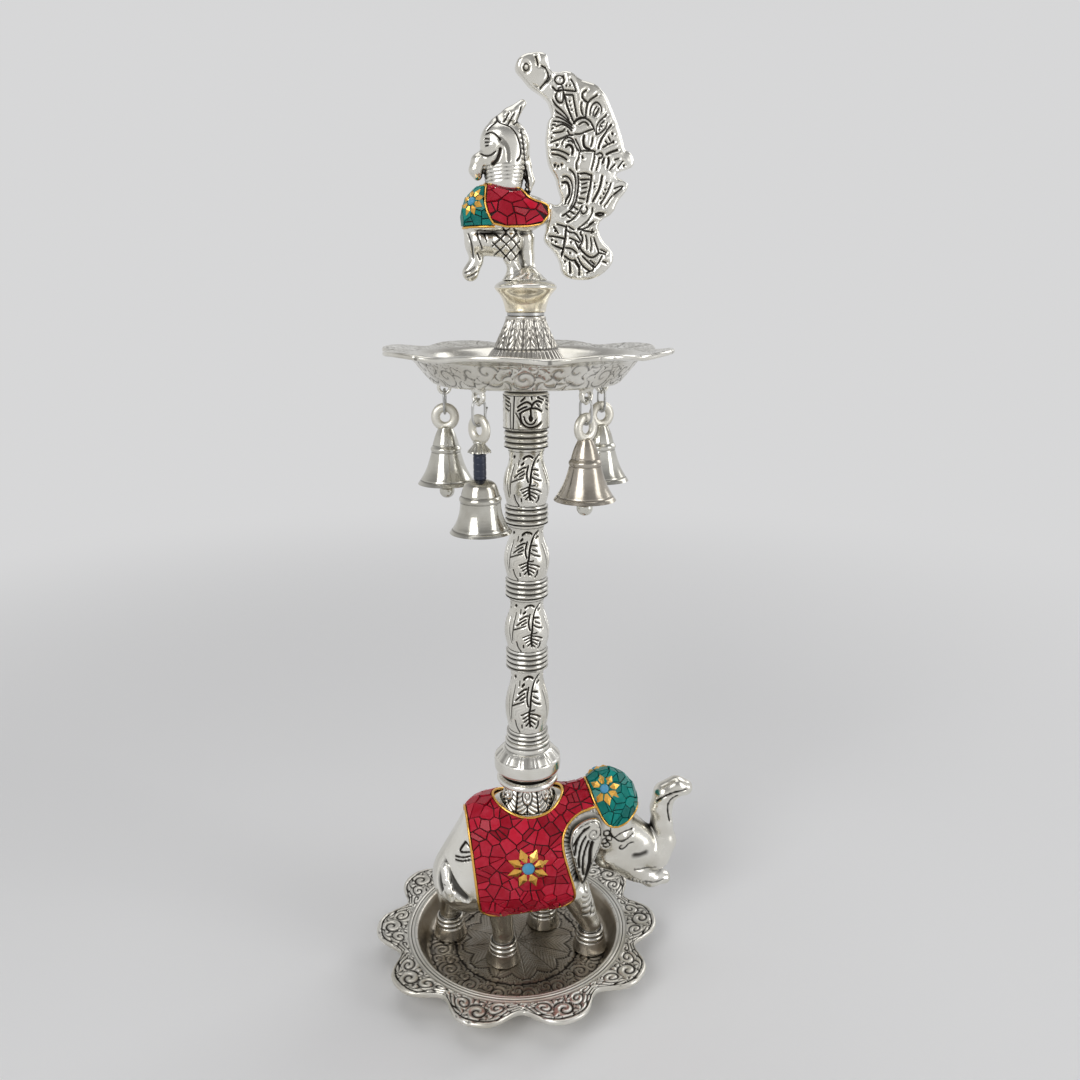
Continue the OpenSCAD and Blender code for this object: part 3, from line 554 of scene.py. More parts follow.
def mapped(tree, value, from_low, from_high, to_low, to_high):
    node = put(tree, "ShaderNodeMapRange")
    limits = {"From Min": from_low, "From Max": from_high, "To Min": to_low, "To Max": to_high}
    for key, number in limits.items():
        node.inputs[key].default_value = number
    tree.links.new(value, node.inputs["Value"])
    return node.outputs["Result"]


# A mixing node has many sockets of one name, so the ones for colours go by number
FIRST_COLOUR, SECOND_COLOUR, MIXED_COLOUR = 6, 7, 2


def mixed(tree, share, dark, light):
    """A colour between two, each a colour or a socket."""
    node = put(tree, "ShaderNodeMix", data_type="RGBA")
    tree.links.new(share, node.inputs["Factor"])
    for place, colour in ((FIRST_COLOUR, dark), (SECOND_COLOUR, light)):
        socket = node.inputs[place]
        if isinstance(colour, tuple):
            socket.default_value = (*colour, 1)
        else:
            tree.links.new(colour, socket)
    return node.outputs[MIXED_COLOUR]


def bumped(tree, shader, height, strength, distance):
    bump = put(tree, "ShaderNodeBump", Strength=strength, Distance=distance)
    tree.links.new(height, bump.inputs["Height"])
    tree.links.new(bump.outputs["Normal"], shader.inputs["Normal"])


def attribute(tree, key):
    return put(tree, "ShaderNodeAttribute", attribute_name=key).outputs["Fac"]


def product(tree, a, b):
    node = put(tree, "ShaderNodeMath", operation="MULTIPLY")
    tree.links.new(a, node.inputs[0])
    tree.links.new(b, node.inputs[1])
    return node.outputs["Value"]


def oxidised(name, bright, tint, brown_tone, tarnish, smooth=0.17):
    """White metal, polished on the high spots, brown where it is toned, black in the carving, and dark where
    shade is painted into its brightness.
    """
    material, tree, shader = nodes_of(name)
    relief = mapped(tree, attribute(tree, "bright"), 0.14, 0.76, 0, 1)
    cloud = mapped(tree, noise(tree, 55, 5), 0.32, 0.68, 0, 1)
    toning = product(tree, attribute(tree, "tone"), mapped(tree, noise(tree, 120, 5), 0.3, 0.65, 0.7, 1))
    polish = mixed(tree, toning, mixed(tree, cloud, tint, bright), brown_tone)
    tree.links.new(mixed(tree, relief, tarnish, polish), shader.inputs["Base Color"])
    worn = product(tree, relief, mapped(tree, noise(tree, 160, 4), 0.3, 0.7, 0.75, 1))
    tree.links.new(mapped(tree, worn, 0, 1, 0.5, smooth), shader.inputs["Roughness"])
    shader.inputs["Metallic"].default_value = 1.0
    bumped(tree, shader, noise(tree, 900, 3), 0.12, 0.0002)
    return material


def polished(name, colour, shade, rough):
    """Plain metal with fine turning marks and a little handling haze."""
    material, tree, shader = nodes_of(name)
    haze = mapped(tree, noise(tree, 70, 5), 0.3, 0.7, 0, 1)
    tree.links.new(mixed(tree, haze, shade, colour), shader.inputs["Base Color"])
    tree.links.new(mapped(tree, haze, 0, 1, rough + 0.12, rough), shader.inputs["Roughness"])
    shader.inputs["Metallic"].default_value = 1.0
    bumped(tree, shader, noise(tree, 700, 2), 0.08, 0.0002)
    return material


def stone(name, dark, light, vein):
    """Polished stone chips: each has a tone of its own, with faint veins."""
    material, tree, shader = nodes_of(name)
    tone = attribute(tree, "tone")
    cloud = mapped(tree, noise(tree, 260, 5), 0.35, 0.7, 0, 1)
    body = mixed(tree, tone, dark, light)
    tree.links.new(mixed(tree, product(tree, cloud, mapped(tree, tone, 0, 1, 0.15, 0.5)), body, vein),
                   shader.inputs["Base Color"])
    tree.links.new(mapped(tree, cloud, 0, 1, 0.14, 0.3), shader.inputs["Roughness"])
    shader.inputs["Specular IOR Level"].default_value = 0.2
    bumped(tree, shader, noise(tree, 800, 4), 0.15, 0.0003)
    return material


def matte(name, colour, shade, rough=0.8):
    material, tree, shader = nodes_of(name)
    tree.links.new(mixed(tree, mapped(tree, noise(tree, 400, 4), 0.3, 0.7, 0, 1), shade, colour),
                   shader.inputs["Base Color"])
    shader.inputs["Roughness"].default_value = rough
    bumped(tree, shader, noise(tree, 900, 3), 0.2, 0.0003)
    return material


SILVER = oxidised("silver", (0.9, 0.885, 0.83), (0.7, 0.675, 0.6), (0.22, 0.18, 0.13), (0.026, 0.022, 0.018))
TRAY_SILVER = oxidised("tray_silver", (0.9, 0.885, 0.83), (0.68, 0.65, 0.57), (0.22, 0.18, 0.13),
                       (0.026, 0.022, 0.018), 0.32)
CHAMPAGNE = polished("champagne", (0.95, 0.9, 0.78), (0.86, 0.78, 0.6), 0.12)
ROSY = oxidised("warm_bell", (0.6, 0.555, 0.48), (0.38, 0.34, 0.285), (0.2, 0.17, 0.14), (0.05, 0.04, 0.035))
BELL_METAL = oxidised("bell_metal", (0.74, 0.73, 0.67), (0.46, 0.44, 0.38), (0.3, 0.27, 0.22),
                      (0.05, 0.045, 0.04), 0.11)
CAST_RING = polished("cast_ring", (0.82, 0.8, 0.73), (0.66, 0.63, 0.55), 0.36)
STEEL = polished("steel", (0.62, 0.62, 0.6), (0.45, 0.45, 0.44), 0.3)
GILT = polished("gilt", (0.95, 0.6, 0.16), (0.78, 0.4, 0.07), 0.2)
RED = stone("red_stone", (0.27, 0.002, 0.011), (0.66, 0.012, 0.04), (0.66, 0.06, 0.11))
TEAL = stone("teal_stone", (0.002, 0.1, 0.085), (0.004, 0.3, 0.25), (0.02, 0.42, 0.38))
TURQUOISE = stone("turquoise", (0.06, 0.28, 0.52), (0.1, 0.38, 0.64), (0.2, 0.5, 0.6))
GROUT = matte("grout", (0.012, 0.007, 0.007), (0.035, 0.012, 0.014))
NAVY = matte("navy_sleeve", (0.012, 0.018, 0.04), (0.02, 0.028, 0.055), 0.35)


# Tray and bowl: lathed, with their rims drawn out into lobes

FLOOR_Z = 4.5
TRAY_BACK = 5.0
TRAY_LOBES = 10
TRAY_FIRST = math.radians(-7)
TRAY_TIP_R = 63.97
TRAY_NOTCH_R = 54.5
TRAY_RING_R = 46.0
TRAY_FLOOR_R = 41.0
TRAY_RING_Z = 14.0
TRAY_BAND = 4.2
TRAY_RIM_ARC_R = 56.0
TRAY_SECTORS = 16
TRAY_SECTOR_ARC_R = 35.0
TRAY_PETALS = 12
SCALLOP_R, SCALLOP_RISE = 21.5, 4.0
TRAY_CENTRE_R = 27.5
FLOOR_RING_R, FLOOR_EDGE_R = 28.2, 39.7
BAND_DEPTH, RIM_DEPTH, FLOOR_DEPTH = 0.7, 0.65, 0.55
TRAY_NICKS, TRAY_NICK_SEED = 40, 31
BOWL_LOBES = 8
BOWL_FIRST = math.radians(22)
BOWL_TIP_R = 57.5
BOWL_NOTCH_R = 53.0
BOWL_SIDE_R = 44.5
BOWL_FOOT_R = 36.5
BOWL_FLOOR_Z = CONE_LOW[2]
BOWL_LOW_Z = BOWL_FLOOR_Z - 2.0
BOWL_SIDE_ARC_R, BOWL_RIM_ARC_R = 40.0, 50.0
BOWL_SLANT = 1.25
BOWL_DEPTH = 0.5
BOWL_NICKS, BOWL_NICK_SEED = 24, 32


def lobe_edge(angle, count, first, tip_r, notch_r, flat=0.18):
    """Radius of a wavy rim, broad at the tips and narrow at the notches."""
    turn = count * (angle - first)
    wave = np.cos(turn) - flat * np.cos(2 * turn)
    return notch_r + (tip_r - notch_r) * (wave + 1 + flat) / 2


def lobed(shape, start_r, count, first, tip_r, notch_r, droop):
    """Draws the part of a lathed shape beyond a radius in to its wavy rim."""
    x, y, z = shape.points.T
    radius, angle = np.hypot(x, y), np.arctan2(y, x)
    edge = lobe_edge(angle, count, first, tip_r, notch_r)
    share = np.clip((radius - start_r) / (tip_r - start_r), 0, None)
    drawn = np.where(share > 0, start_r + share * (edge - start_r), radius)
    fall = droop * share**2 * (tip_r - edge) / (tip_r - notch_r)
    shape.points = np.stack([drawn * np.cos(angle), drawn * np.sin(angle), z - fall], axis=1)
    return shape


TRAY_RIM_MOTIFS = [
    (0, 57.2, 1.2, 0.3, 1), (7.4, 54.2, 1, 0.36, -1), (-7.8, 54.8, 1, 0.36, 1), (4.6, 60.9, 0.8, 0.2, 5),
    (-5.5, 61, 0.8, 0.2, 6), (13.4, 52.6, 0.9, 0.3, 1), (-13.8, 52, 0.8, 0.2, 7), (2.2, 52.2, 0.7, 0.2, 6),
]
TRAY_FLOOR_MOTIFS = [
    (0, 34.5, 1.2, 0.45, 1), (5.2, 37.5, 0.8, 0.5, -1), (-5.2, 32, 0.8, 0.5, -1), (5.5, 31.5, 0.7, 0.3, 6),
]


def carve_tray(angle, radius, height):
    """Scrolls and a lined band on the rim, scrolls round a ring of hatched petals on the floor."""
    top = height > FLOOR_Z - 0.1
    lobe_turn = wrapped(TRAY_LOBES * (angle - TRAY_FIRST)) / TRAY_LOBES
    rim = scrollwork(lobe_turn * TRAY_RIM_ARC_R, radius, TRAY_RIM_MOTIFS, 0.5, 0.42)
    bead = ramp(radius, TRAY_TIP_R - 1.9, TRAY_TIP_R - 1.2)
    rim = np.maximum(rim, bead) * ramp(np.abs(radius - TRAY_TIP_R + 2.2), 0.1, 0.5)
    rim = rim * nicks(angle, radius, TRAY_TIP_R - 1.0, TRAY_NICKS, TRAY_NICK_SEED)
    lines = ridges((radius - TRAY_RING_R) / 1.5 + 0.5, 0.62)
    band = radius < TRAY_RING_R + TRAY_BAND
    on_rim = top & (radius > TRAY_RING_R) & (height > TRAY_RING_Z - 0.4)
    sector = wrapped(TRAY_SECTORS * angle) / TRAY_SECTORS
    scroll = scrollwork(sector * TRAY_SECTOR_ARC_R, radius, TRAY_FLOOR_MOTIFS, 0.42, 0.4)
    out = np.abs(wrapped(TRAY_PETALS * angle) / TRAY_PETALS) * radius
    hatch = np.minimum(ridges((0.8 * radius + 1.1 * out) / 1.9, 0.66), 0.4 + 0.6 * line_cut(out, 0.45))
    wave = SCALLOP_RISE * np.abs(np.cos(TRAY_PETALS / 2 * angle))
    scallop = line_cut(np.abs(radius - SCALLOP_R - wave), 0.6)
    arcs = ridges((radius - wave) / 1.6, 0.66)
    hatch = np.minimum(np.where(radius > SCALLOP_R + wave, arcs, hatch), scallop)
    centre = np.where(radius < TRAY_CENTRE_R, 0.15 + 0.85 * hatch, 0.06 + 0.94 * scroll)
    centre = centre * ramp(np.abs(radius - FLOOR_RING_R), 0.2, 0.7)
    centre = centre * ramp(np.abs(radius - FLOOR_EDGE_R), 0.1, 0.5)
    on_floor = top & (radius < TRAY_FLOOR_R - 0.4)
    carved = np.where(on_rim, np.where(band, lines, rim), np.where(on_floor, centre, 1.0))
    depth = np.where(on_rim, np.where(band, BAND_DEPTH, RIM_DEPTH), np.where(on_floor, FLOOR_DEPTH, 0))
    return depth * (carved - 1), carved


def tray():
    top = TRAY_TOP_Z
    thick = 2.5
    under = [(0, 0), (38.2, 0), (38.5, 0.4), (38.5, 2), (41, 2), (48.5, TRAY_RING_Z - thick),
             (TRAY_TIP_R - 1.2, top - thick)]
    lip = [(TRAY_TIP_R - 1.2, top - thick), (TRAY_TIP_R, top - thick + 0.4), (TRAY_TIP_R, top - 0.4),
           (TRAY_TIP_R - 1, top)]
    over = [(TRAY_TIP_R - 1, top), (TRAY_RING_R + 1, TRAY_RING_Z + 0.1), (TRAY_RING_R, TRAY_RING_Z),
            (TRAY_RING_R - 1.2, TRAY_RING_Z - 1.5), (TRAY_FLOOR_R + 0.8, FLOOR_Z + 1),
            (TRAY_FLOOR_R - 0.8, FLOOR_Z), (0, FLOOR_Z)]
    profile = np.vstack([resampled(under, 3)[:-1], resampled(rounded(lip), 0.4)[:-1],
                         resampled(over[:3], 0.45 * DETAIL)[:-1], resampled(over[2:6], 1.2)[:-1],
                         resampled(over[5:], 0.75 * DETAIL)])
    profile[[0, -1], 0] = 0
    shape = lathe(profile, 720, carve=carve_tray)
    x, y, z = shape.points.T
    radius = np.hypot(x, y)
    well = (z > FLOOR_Z - 1) & (radius < TRAY_RING_R)
    shape.tone = np.where(well, 0.9, np.where(z < FLOOR_Z, 0.6, 0.12))
    shape = lobed(shape, TRAY_RING_R + TRAY_BAND, TRAY_LOBES, TRAY_FIRST, TRAY_TIP_R, TRAY_NOTCH_R, 0.8)
    shape.points[:, 0] -= TRAY_BACK
    return shape


add_piece("lobed_tray", tray(), "stand", ["base_tray"], [TRAY_SILVER])

BOWL_SIDE_MOTIFS = [
    (0, 5.5, 1.1, 0.27, 1), (7.2, 4, 1, 0.14, -4), (-7.8, 4.4, 1, 0.14, 4), (12.2, 8, 0.9, 0.24, -1),
    (-12.8, 8.4, 0.9, 0.24, 1), (4.4, 10.2, 0.7, 0.12, 5), (-4, 10.8, 0.7, 0.12, 5),
    (15.7, 3.5, 0.8, 0.12, 5),
]
BOWL_RIM_MOTIFS = [(0, 51, 1.2, 0.4, 1), (9, 48, 1, 0.45, -1), (-9, 48, 1, 0.45, 1), (17, 48.5, 1, 0.3, 6)]


def carve_bowl(angle, radius, height):
    """Scrolls on the sloping side and on the rim."""
    up = height - BOWL_LOW_Z
    sector = wrapped(BOWL_LOBES * (angle - FACING_CAMERA)) / BOWL_LOBES
    side = scrollwork(sector * BOWL_SIDE_ARC_R, up * BOWL_SLANT, BOWL_SIDE_MOTIFS, 0.24, 0.79)
    outside = (radius > BOWL_FOOT_R - 0.5) & (radius < BOWL_SIDE_R) & (up < (radius - BOWL_FOOT_R) * 1.2 + 1)
    lobe_turn = wrapped(BOWL_LOBES * (angle - BOWL_FIRST)) / BOWL_LOBES
    rim = scrollwork(lobe_turn * BOWL_RIM_ARC_R, radius, BOWL_RIM_MOTIFS, 0.3, 0.85)
    on_rim = (radius > BOWL_SIDE_R + 0.5) & (radius < BOWL_TIP_R - 1.4) & (up > 11.4)
    carved = np.where(outside, 0.06 + 0.94 * side, np.where(on_rim, 0.3 + 0.7 * rim, 1.0))
    lift = np.where(outside | on_rim, BOWL_DEPTH, 0) * (carved - 1)
    lip = nicks(angle, radius, BOWL_TIP_R - 0.5, BOWL_NICKS, BOWL_NICK_SEED)
    return lift + 0.2 * (lip - 1), carved * lip


def bowl():
    base, top = BOWL_LOW_Z, BOWL_TOP_Z
    under = [(HOLE_R, base), (BOWL_FOOT_R - 1, base), (BOWL_FOOT_R + 0.4, base + 0.6),
             (BOWL_SIDE_R - 0.6, base + 9), (BOWL_SIDE_R + 0.6, base + 9.8), (BOWL_TIP_R - 1.2, top - 2)]
    lip = [(BOWL_TIP_R - 1.2, top - 2), (BOWL_TIP_R, top - 1.7), (BOWL_TIP_R, top - 0.3),
           (BOWL_TIP_R - 1.2, top)]
    over = [(BOWL_TIP_R - 1.2, top), (BOWL_SIDE_R + 0.4, base + 11.6), (BOWL_SIDE_R - 2, base + 10.4),
            (BOWL_FOOT_R - 1.6, BOWL_FLOOR_Z + 0.6), (BOWL_FOOT_R - 3, BOWL_FLOOR_Z), (HOLE_R, BOWL_FLOOR_Z)]
    profile = np.vstack([resampled(under[:2], 5)[:-1], resampled(under[1:4], 0.4 * DETAIL)[:-1],
                         resampled(under[3:], 0.9)[:-1], resampled(rounded(lip), 0.35)[:-1],
                         resampled(over[:2], 0.5 * DETAIL)[:-1], resampled(over[1:5], 1.2)[:-1],
                         resampled(over[4:], 5)])
    shape = lathe(profile, 720, closed=True, carve=carve_bowl)
    inside = (shape.points[:, 2] > BOWL_FLOOR_Z - 0.1) & (np.hypot(*shape.points[:, :2].T) < BOWL_SIDE_R)
    shape.tone = np.where(inside, 0.12, 0.04)
    return lobed(shape, BOWL_SIDE_R, BOWL_LOBES, BOWL_FIRST, BOWL_TIP_R, BOWL_NOTCH_R, 1.6)


LUG_R = 33.5
LUG_Z = BOWL_LOW_Z - 2.6
LUG_EYE_R = 1.62
BELL_NUMBERS = (1, 2, 3, 4)
LUG_ANGLE = {1: 158, 2: 230, 3: 302, 4: 14, 0: 86}
LUG_FACING = {1: 80, 2: 35, 3: 122, 4: 104, 0: 86}


def at_lug(number, z=0.0):
    """Frame of a lug: its X axis runs through the lug's hole."""
    angle, facing = math.radians(LUG_ANGLE[number]), math.radians(LUG_FACING[number])
    place = Matrix.Translation((LUG_R * math.cos(angle), LUG_R * math.sin(angle), z))
    return place @ Matrix.Rotation(facing, 4, "Z")


def lug_field(p):
    x, y, z = p.T
    across = np.hypot(y, z)
    eye = np.hypot(across - 2.3, np.maximum(np.abs(x) - 0.5, 0)) - 0.66
    share = np.clip((z + 0.4) / 3.4, 0, 1)
    web = np.hypot(x * 1.5, y) - (1.5 + 2.6 * share**1.5)
    web = np.maximum(web, np.maximum(z - 3.2, -z - 0.4))
    point = ellipsoid(p, ((0, 0, -2.75), (0.8, 0.7, 0.7)))
    whole = soft_union(soft_union(eye, web, 0.8), point, 0.5)
    return np.maximum(whole, LUG_EYE_R - across)


def lugs():
    made = []
    for number in LUG_ANGLE:
        points, faces = meshed(lug_field, (-3, -4.2, -3.6), (3, 4.2, 3.3), 0.3)
        normal = normals(points, lug_field)
        # The lug is darker in its crevices: painted shade, with tarnish.
        shape = Shape(points, faces, openness(points, normal, lug_field, (0.8, 1.6)))
        made.append(shape.moved(at_lug(number, LUG_Z)))
    return made


add_piece("lobed_bowl", union([bowl()] + lugs()), "stand", ["oil_bowl"], [SILVER])


# Turned pieces between the elephant and the bird

BOSS_TALL = 11.5
BOSS_LEAVES = 7
FLANGE_NICKS = 40
FOOT_MARKS = 26
CONE_PETALS = 12
CONE_FLUTES = 44
CONE_RINGS = (0.22, 0.48)


def carve_boss(angle, radius, height):
    """Lotus leaves round the collar, under a nicked flange."""
    up = (height - SEAT_Z) / BOSS_TALL
    u = wrapped(BOSS_LEAVES * (angle - FACING_CAMERA)) / math.pi
    leaf = lotus_leaf(u * 0.95, 1.15 - 2.2 * up)
    zone = (up < 0.92) & (radius > 8)
    flange = (up > 0.98) & (radius > 11.5)
    carved = np.where(zone, leaf, 1.0)
    nick = ridges(angle * FLANGE_NICKS / TURN, 0.6) * 0.5 + 0.5
    carved = np.where(flange & (radius < 12.8), nick, carved)
    return np.where(zone, 0.9, 0.15) * (carved - 1), carved


def collar():
    low, high = SEAT_Z, FOOT_LOW[2]
    outer = [(HOLE_R, low), (12, low), (11.6, low + 2), (10.6, low + 6.5), (10, low + 10), (10.6, low + 11),
             (12.4, low + 11.4), (13.4, low + 12), (13.4, low + 13.4), (12.7, low + 14.2), (10.4, low + 14.4),
             (10, low + 14.6), (10, high), (HOLE_R, high)]
    shape = lathe(resampled(rounded(outer, 1), 0.35), 420, closed=True, carve=carve_boss)
    # The neck between the flange and the foot is painted dark: painted shade.
    gap = (shape.points[:, 2] > low + 14.3) & (np.hypot(*shape.points[:, :2].T) < 11.6)
    shape.bright = np.where(gap, 0.1, shape.bright)
    return shape


def carve_foot(angle, radius, height):
    """Marks on the foot's slope and a ring round its neck."""
    up = height - FOOT_LOW[2]
    slope = (up > 8.4) & (up < 11.8) & (radius > 10.5)
    marks = 0.45 + 0.55 * ridges(angle * FOOT_MARKS / TURN + 0.3 * np.sin(angle * FOOT_MARKS / 2), 0.6)
    neck = ridges((up - 12.2) / 2.3, 0.5)
    carved = np.where(slope, marks, np.where((up > 12.2) & (radius < 11), neck, 1.0))
    return 0.4 * (carved - 1), carved


def pillar_foot():
    low, high = FOOT_LOW[2], FOOT_HIGH[2]
    outer = [(HOLE_R, low), (10.4, low), (10.6, low + 1), (13.2, low + 1.6), (14.2, low + 2.6),
             (14.4, low + 3.8), (14.4, low + 7.6), (14, low + 8.4), (11.2, low + 11.6), (9.9, low + 12.2),
             (9.7, high - 3), (9.7, high), (HOLE_R, high)]
    return lathe(resampled(rounded(outer, 1), 0.4), 320, closed=True, carve=carve_foot)


HALF_BAND = 4.4
FRONDS = 3
LEAF_R = 9.0
LEAF_SHIFT = 2.6
THINNEST_LEAF_LINE = 0.14

# The straight section's enlargement: its axis, its half width, a leaf's middle and how far 6.6 mm reach
TOP_AXIS_X, TOP_HALF_X = 330, 290
TOP_MIDDLE_X, TOP_MIDDLE_Y = 395, 305
TOP_REACH_Y, TOP_REACH_MM = 245, 6.6
TOP_PIXEL_MM = 0.031
TOP_STROKES = [
    (18, [(260, 330), (270, 420), (310, 490), (390, 520), (470, 500), (525, 450)]),
    (14, [(310, 360), (320, 420), (360, 465), (400, 475), (440, 455), (465, 400)]),
    (22, [(393, 350), (375, 390), (395, 425), (415, 390), (395, 350)]),
    (16, [(250, 320), (310, 270), (390, 240), (460, 240), (530, 285)]),
    (20, [(392, 240), (395, 300), (398, 350)]),
    (16, [(230, 280), (300, 230), (345, 215)]),
    (16, [(230, 225), (290, 170), (350, 140), (400, 180), (410, 230)]),
    (12, [(270, 140), (320, 85)]),
    (18, [(415, 200), (430, 160), (480, 130), (530, 160)]),
    (14, [(470, 180), (500, 220)]),
    (16, [(480, 85), (550, 125)]),
    (10, [(510, 60), (570, 80)]),
    (14, [(400, 75), (410, 110)]),
    (12, [(190, 60), (180, 200), (175, 400), (170, 550)]),
    (8, [(140, 180), (135, 350), (140, 540)]),
    (12, [(60, 70), (130, 115)]),
    (12, [(52, 110), (125, 165)]),
    (12, [(65, 180), (120, 220)]),
    (12, [(60, 235), (120, 285)]),
    (8, [(205, 310), (250, 400), (270, 470)]),
]

# A pear section's enlargement: its half width and its axis at some heights, and how far 12 mm reach
PEAR_HALVES = [(850, 230), (1000, 225), (1150, 270), (1300, 300), (1450, 285), (1520, 265)]
PEAR_AXES = [(850, 345), (1000, 350), (1300, 380), (1500, 370)]
PEAR_MIDDLE_TURN, PEAR_MIDDLE_Y = 0.13, 1170
PEAR_REACH_Y, PEAR_REACH_MM = 340, 12
PEAR_PIXEL_MM = 0.033
PEAR_STROKES = [
    (22, [(310, 920), (340, 895), (390, 885), (440, 910)]),
    (20, [(545, 865), (500, 890), (460, 950), (430, 1010), (420, 1100), (425, 1180), (420, 1240)]),
    (16, [(380, 1000), (365, 1080), (375, 1150), (395, 1190)]),
    (14, [(255, 1065), (320, 1020), (355, 1015)]),
    (12, [(220, 1140), (290, 1080), (330, 1060)]),
    (12, [(280, 1130), (340, 1090)]),
    (8, [(190, 1200), (260, 1165), (330, 1140)]),
    (22, [(295, 990), (315, 970)]),
    (8, [(255, 940), (255, 990)]),
    (26, [(180, 910), (195, 895)]),
    (12, [(440, 1040), (500, 1050)]),
    (12, [(455, 1090), (510, 1120)]),
    (12, [(440, 1130), (480, 1160), (550, 1180)]),
    (10, [(490, 960), (520, 940), (540, 970)]),
    (20, [(415, 1250), (420, 1330), (430, 1420)]),
    (10, [(400, 1250), (310, 1290)]),
    (12, [(400, 1290), (330, 1330)]),
    (12, [(405, 1330), (345, 1365)]),
    (14, [(410, 1370), (370, 1410)]),
    (10, [(430, 1240), (490, 1230)]),
    (14, [(430, 1265), (520, 1290), (570, 1320)]),
    (14, [(440, 1310), (520, 1350)]),
    (12, [(440, 1350), (500, 1400)]),
    (10, [(440, 1400), (470, 1430)]),
    (12, [(220, 1360), (230, 1430), (270, 1490)]),
    (18, [(545, 1370), (540, 1420), (515, 1450)]),
    (10, [(310, 1400), (310, 1440)]),
    (8, [(200, 990), (180, 1180), (170, 1350)]),
    (8, [(145, 1050), (140, 1250), (155, 1400)]),
]


def top_spot(drawn):
    """A point drawn on the straight section, in millimetres round it and up it from a leaf's middle."""
    x, y = drawn
    middle = math.asin((TOP_MIDDLE_X - TOP_AXIS_X) / TOP_HALF_X)
    turn = math.asin((x - TOP_AXIS_X) / TOP_HALF_X) - middle
    return round(turn * LEAF_R, 1), round((TOP_MIDDLE_Y - y) / TOP_REACH_Y * TOP_REACH_MM, 1)


def pear_spot(drawn):
    """The same for a point drawn on a pear section, which is not as wide at each height."""
    x, y = drawn
    half, axis = (float(np.interp(y, *zip(*table))) for table in (PEAR_HALVES, PEAR_AXES))
    turn = math.asin((x - axis) / half) - PEAR_MIDDLE_TURN
    return round(turn * LEAF_R, 1), round((PEAR_MIDDLE_Y - y) / PEAR_REACH_Y * PEAR_REACH_MM, 1)


TOP_LEAF = placed_lines(TOP_STROKES, top_spot, TOP_PIXEL_MM, THINNEST_LEAF_LINE)
PEAR_LEAF = placed_lines(PEAR_STROKES, pear_spot, PEAR_PIXEL_MM, THINNEST_LEAF_LINE)
BAND_R = 9.0
STRAIGHT_R = 9.2
BAND_GROOVE_DEPTH, LEAF_DEPTH = 0.75, 0.6
LEAF_TURNS = (0.22, 0.13, 0.05, 0.2, 0.1)
PEAR = rounded([(0, 8.0), (0.12, 8.7), (0.33, 9.6), (0.55, 8.9), (0.75, 7.2), (0.88, 6.7), (1, 7.4)], 3)


def pillar_section(number):
    """A section between two grooved bands: the first is straight and the others swell like a pear."""
    low, high = (corner[2] for corner in box_mm(f"pillar_section_{number}"))
    tall = high - low
    swell = tall - 2 * HALF_BAND
    straight = number == 1
    turn = FACING_CAMERA + LEAF_TURNS[number - 1]

    def outer_radius(z):
        share = np.clip((z - low - HALF_BAND) / swell, 0, 1)
        body = STRAIGHT_R + 0 * z if straight else np.interp(share, *PEAR.T)
        end = np.minimum(z - low, high - z)
        return np.where(end < HALF_BAND - 0.4, BAND_R, body)

    def carve(angle, radius, height):
        end = np.minimum(height - low, high - height)
        rings = ridges(end / 2.2 + 0.5, 0.34)
        u = wrapped(FRONDS * (angle - turn + LEAF_SHIFT / LEAF_R)) / FRONDS * LEAF_R - LEAF_SHIFT
        v = (height - low - HALF_BAND) / swell - 0.5
        reach, lines = (TOP_REACH_MM, TOP_LEAF) if straight else (PEAR_REACH_MM, PEAR_LEAF)
        deep, leaf = leaf_cut(u, v * (2 * reach), lines)
        leaf = leaf * ramp(end - HALF_BAND, 0.05, 0.6)
        outside = radius > HOLE_R + 1
        band = end < HALF_BAND
        carved = np.where(outside, np.where(band, rings, leaf), 1.0)
        lift = np.where(band, BAND_GROOVE_DEPTH * (rings - 1), LEAF_DEPTH * (deep - 1))
        return np.where(outside, lift, 0), carved

    z = np.arange(low, high + 0.01, 0.3 * DETAIL)
    outer = np.stack([outer_radius(z), z], axis=1)
    profile = np.vstack([[(HOLE_R, low)], outer, [(HOLE_R, high)]])
    return lathe(profile, 260, closed=True, carve=carve)


def carve_cone(angle, radius, height):
    """Lotus petals over a ring of flutes and a ring of small leaves."""
    up = (height - CONE_LOW[2]) / (CONE_HIGH[2] - CONE_LOW[2])
    low_ring, high_ring = CONE_RINGS
    u = wrapped(CONE_PETALS * angle) / math.pi
    upper = lotus_leaf(u, 0.9 - (up - 0.5) * 3.6)
    flutes = ridges(angle * CONE_FLUTES / TURN, 0.6)
    low_leaf = ridges(wrapped(CONE_FLUTES / 2 * angle) / TURN * 2 + 0.5, 0.6) * ramp(up, 0.03, 0.1)
    lower = np.where(up < low_ring, low_leaf, flutes)
    outside = (radius > HOLE_R + 1) & (up < 0.93) & (up > 0.02)
    carved = np.where(up > high_ring, upper, lower) * ramp(np.abs(up - high_ring), 0.005, 0.03)
    carved = carved * ramp(np.abs(up - low_ring), 0.005, 0.03)
    carved = np.where(outside, 0.22 + 0.78 * carved, 1.0)
    return 0.6 * (carved - 1), carved


def cone():
    low, high = CONE_LOW[2], CONE_HIGH[2]
    tall = high - low
    outer = [(HOLE_R, low), (20, low), (20, low + 1.8), (15.6, low + 0.3 * tall), (12.4, low + 0.5 * tall),
             (9.6, low + 0.75 * tall), (7.8, high - 1.8), (7.8, high), (HOLE_R, high)]
    shape = lathe(resampled(rounded(outer, 1), 0.42), 400, closed=True, carve=carve_cone)
    shape.tone = np.full(len(shape.points), 0.45)
    return shape


